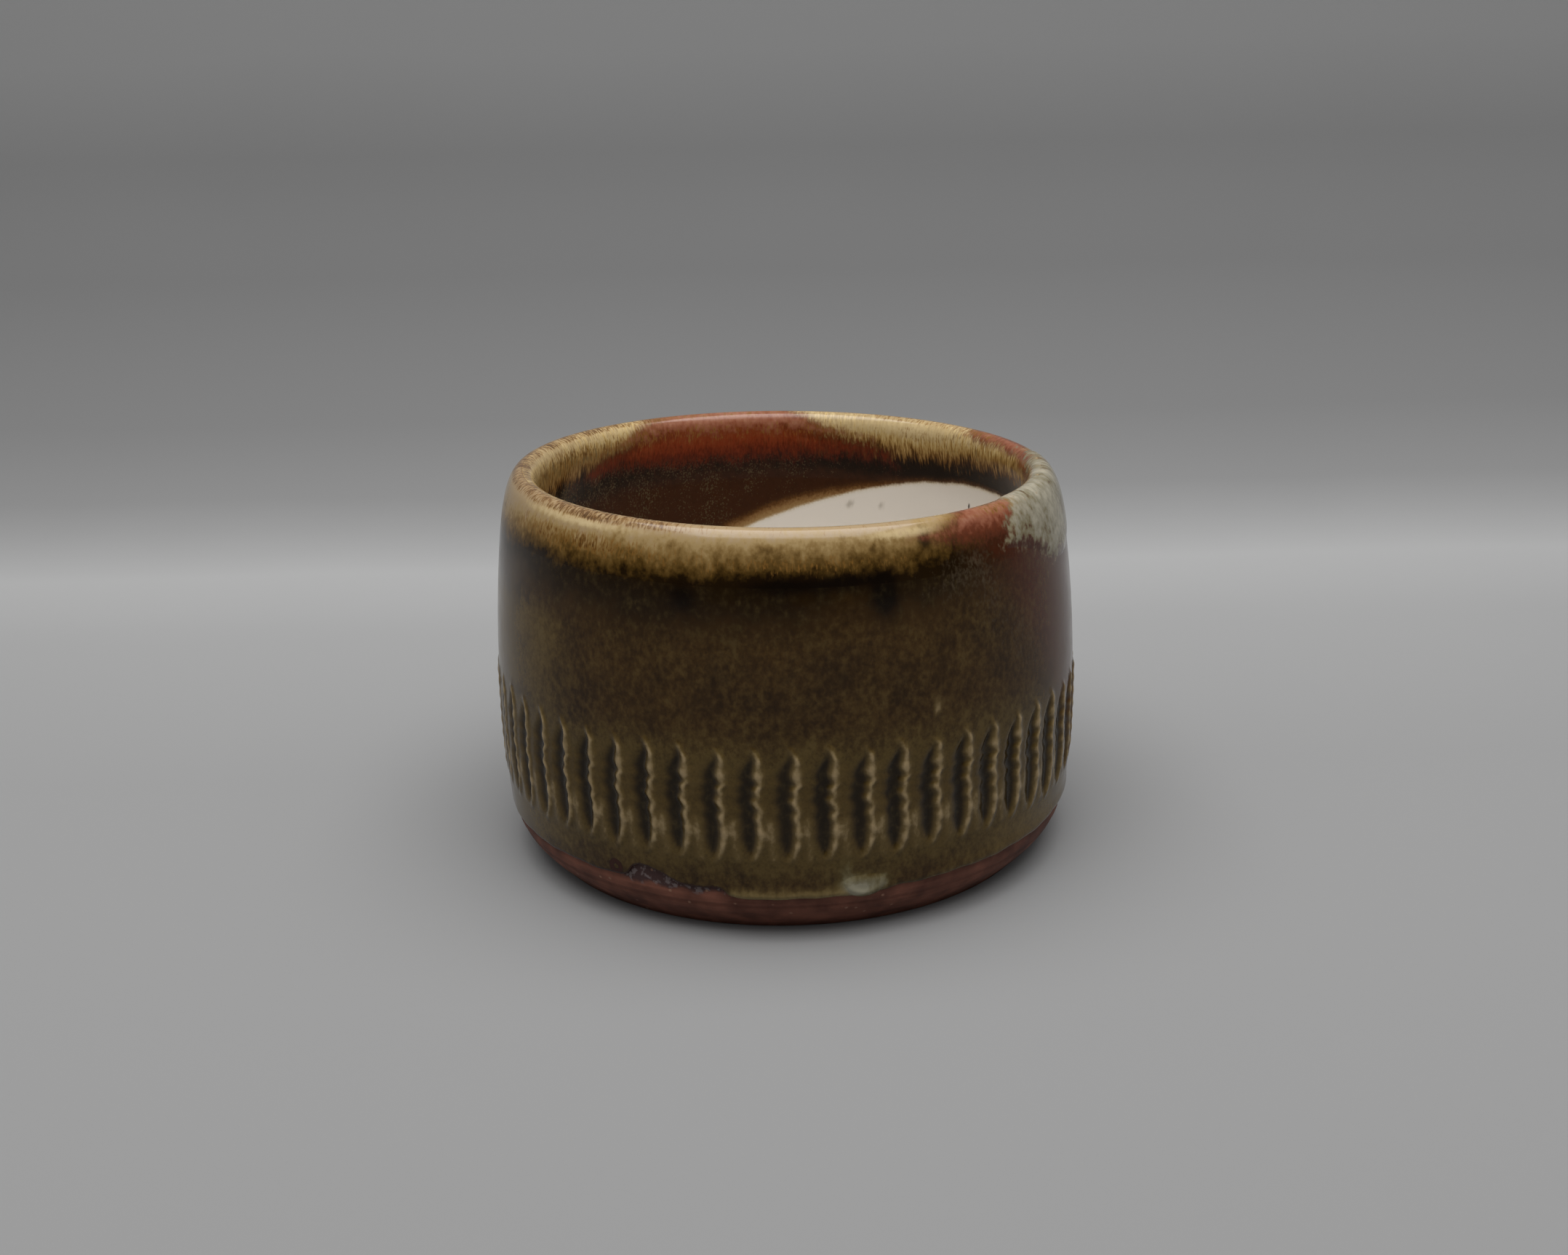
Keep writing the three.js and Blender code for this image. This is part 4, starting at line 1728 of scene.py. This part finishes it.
@dataclass
class Studio:
    """The grey sweep the cup stands on, the soft light and the camera."""

    shade_start: float = -120.0
    shade_end: float = 330.0
    # Painted light and shade on the paper: darker at the front, a bright band where the floor bends up,
    # darker up the wall and lighter again at its top.
    painted_shading: tuple[tuple[float, str], ...] = (
        (0.02, "#808080"),
        (0.32, "#878787"),
        (0.49, "#919191"),
        (0.58, "#999999"),
        (0.633, "#878787"),
        (0.663, "#7d7d7d"),
        (0.735, "#757575"),
        (0.853, "#767676"),
        (0.985, "#8b8b8b"),
    )
    cloud_size: float = 60.0
    cloud_shift: float = 8.0
    front: float = -900.0
    bend_start: float = 105.0
    bend_radius: float = 95.0
    bend_steps: int = 24
    wall_top: float = 900.0
    half_width: float = 1200.0
    lamp_place: tuple[float, float, float] = (0.0, -90.0, 650.0)
    lamp_goal: tuple[float, float, float] = (0.0, -60.0, 0.0)
    lamp_size: float = 700.0
    lamp_watts: float = 6.4
    wall_glow: float = 0.04
    ceiling_glow: float = 0.85
    camera_place: tuple[float, float, float] = (-0.1636, -266.38, 119.28)
    camera_elevation: float = 0.3166
    camera_roll: float = -0.0233
    focal_pixels: float = 2440.61
    image_width: float = 2156.0
    sensor: float = 36.0

    def sweep(self) -> bpy.types.Object:
        """Bends a sheet of grey paper from the floor up into a back wall.

        Returns:
            The sheet.
        """
        shape = bmesh.new()
        places = [(self.front, 0.0), (0.0, 0.0), (self.bend_start, 0.0)]
        for step in range(1, self.bend_steps + 1):
            turn = step / self.bend_steps * math.pi / 2
            along_floor = self.bend_start + self.bend_radius * math.sin(turn)
            places.append((along_floor, self.bend_radius * (1 - math.cos(turn))))
        places.append((self.bend_start + self.bend_radius, self.wall_top))
        left = -self.half_width * MM
        corners = [shape.verts.new((left, floor * MM, up * MM)) for floor, up in places]
        edges = [shape.edges.new(pair) for pair in zip(corners, corners[1:])]
        pulled = bmesh.ops.extrude_edge_only(shape, edges=edges)["geom"]
        moved = [item for item in pulled if isinstance(item, bmesh.types.BMVert)]
        bmesh.ops.translate(shape, verts=moved, vec=(-2 * left, 0.0, 0.0))
        mesh = smooth_mesh("paper_sweep", shape)
        mesh.materials.append(self.paper())
        floor = bpy.data.objects.new("paper_sweep", mesh)
        bpy.context.scene.collection.objects.link(floor)
        return floor

    def paper(self) -> bpy.types.Material:
        """Makes matt grey paper, a little uneven, with painted light and shade along the sweep, which can't
        be seen from behind.

        Returns:
            The new material.
        """
        made = bpy.data.materials.new("grey_paper_with_painted_shading")
        tree = empty_tree(made)
        place = node(tree, "ShaderNodeTexCoord").outputs["Object"]
        broad = {"Vector": place, "Scale": 1 / (self.cloud_size * MM), "Detail": 3.0}
        cloud = node(tree, "ShaderNodeTexNoise", broad).outputs["Fac"]
        sides = node(tree, "ShaderNodeSeparateXYZ", {0: place}).outputs
        length = node(tree, "ShaderNodeMath", {0: sides[1], 1: sides[2]}, operation="ADD").outputs[0]
        shift = {0: cloud, 1: self.cloud_shift * MM, 2: length}
        uneven = node(tree, "ShaderNodeMath", shift, operation="MULTIPLY_ADD").outputs[0]
        span = {"Value": uneven, "From Min": self.shade_start * MM, "From Max": self.shade_end * MM}
        part = node(tree, "ShaderNodeMapRange", span).outputs[0]
        colour = node(tree, "ShaderNodeValToRGB", {0: part}, stops=list(self.painted_shading)).outputs[0]
        matt = node(tree, "ShaderNodeBsdfDiffuse", {"Color": colour}).outputs[0]
        clear = node(tree, "ShaderNodeBsdfTransparent").outputs[0]
        behind = node(tree, "ShaderNodeNewGeometry").outputs["Backfacing"]
        shader = node(tree, "ShaderNodeMixShader", {0: behind, 1: matt, 2: clear}).outputs[0]
        node(tree, "ShaderNodeOutputMaterial", {"Surface": shader})
        return made

    def softbox(self) -> None:
        """Hangs a square softbox over the cup."""
        light = bpy.data.lights.new("overhead_softbox", "AREA")
        light.shape = "SQUARE"
        light.size = self.lamp_size * MM
        light.energy = self.lamp_watts
        lamp = bpy.data.objects.new("overhead_softbox", light)
        start = Vector(self.lamp_place) * MM
        lamp.location = start
        lamp.rotation_euler = (Vector(self.lamp_goal) * MM - start).to_track_quat("-Z", "Y").to_euler()
        bpy.context.scene.collection.objects.link(lamp)

    def room(self) -> None:
        """Makes a room whose ceiling glows a little and whose walls are dim."""
        world = bpy.data.worlds.new("dim_room_with_pale_ceiling")
        tree = empty_tree(world)
        way = node(tree, "ShaderNodeTexCoord").outputs["Generated"]
        up = node(tree, "ShaderNodeSeparateXYZ", {0: way}).outputs[2]
        rise = {"Value": up, "From Min": 0.1, "From Max": 0.9}
        rise |= {"To Min": self.wall_glow, "To Max": self.ceiling_glow}
        glow = node(tree, "ShaderNodeMapRange", rise, interpolation_type="SMOOTHSTEP").outputs[0]
        shine = {"Color": linear("#ffffff"), "Strength": glow}
        surface = node(tree, "ShaderNodeBackground", shine).outputs[0]
        node(tree, "ShaderNodeOutputWorld", {"Surface": surface})
        bpy.context.scene.world = world

    def camera(self) -> None:
        """Sets the camera where the photograph was taken from."""
        lens = bpy.data.cameras.new("camera")
        lens.sensor_fit = "HORIZONTAL"
        lens.sensor_width = self.sensor
        lens.lens = self.sensor * self.focal_pixels / self.image_width
        lens.clip_start = 0.01
        eye = bpy.data.objects.new("camera", lens)
        back = Vector((0.0, -math.cos(self.camera_elevation), math.sin(self.camera_elevation)))
        right = Vector((1.0, 0.0, 0.0))
        up = right.cross(-back)
        turned_right = right * math.cos(self.camera_roll) + up * math.sin(self.camera_roll)
        turned_up = up * math.cos(self.camera_roll) - right * math.sin(self.camera_roll)
        axes = Matrix((turned_right, turned_up, back)).transposed().to_4x4()
        eye.matrix_world = Matrix.Translation(Vector(self.camera_place) * MM) @ axes
        bpy.context.scene.collection.objects.link(eye)
        bpy.context.scene.camera = eye

    def build(self) -> None:
        """Lays the sweep, hangs the light, makes the room and sets the camera."""
        self.sweep()
        self.softbox()
        self.room()
        self.camera()
        bpy.context.scene.view_settings.view_transform = "Standard"


def main() -> None:
    """Builds the cup and the studio."""
    logging.basicConfig(level=logging.INFO, format="%(name)s: %(message)s")
    pieces = [
        ClayBody(),
        OuterGlaze("outer_glaze_coat", ("outer_glaze",), "iron_glaze", IRON),
        RimGlaze("rim_glaze_coat", ("rim_glaze",), "ash_glaze", ASH),
        InnerBandGlaze("inner_band_coat", ("inner_band_glaze",), "dark_band_glaze", BAND),
        LinerGlaze("liner_coat", ("liner_glaze",), "white_liner_glaze", LINER),
        ShoulderSplash(),
        FootBead(),
    ]
    for piece in pieces:
        piece.build()
    Studio().build()


if __name__ == "__main__":
    main()
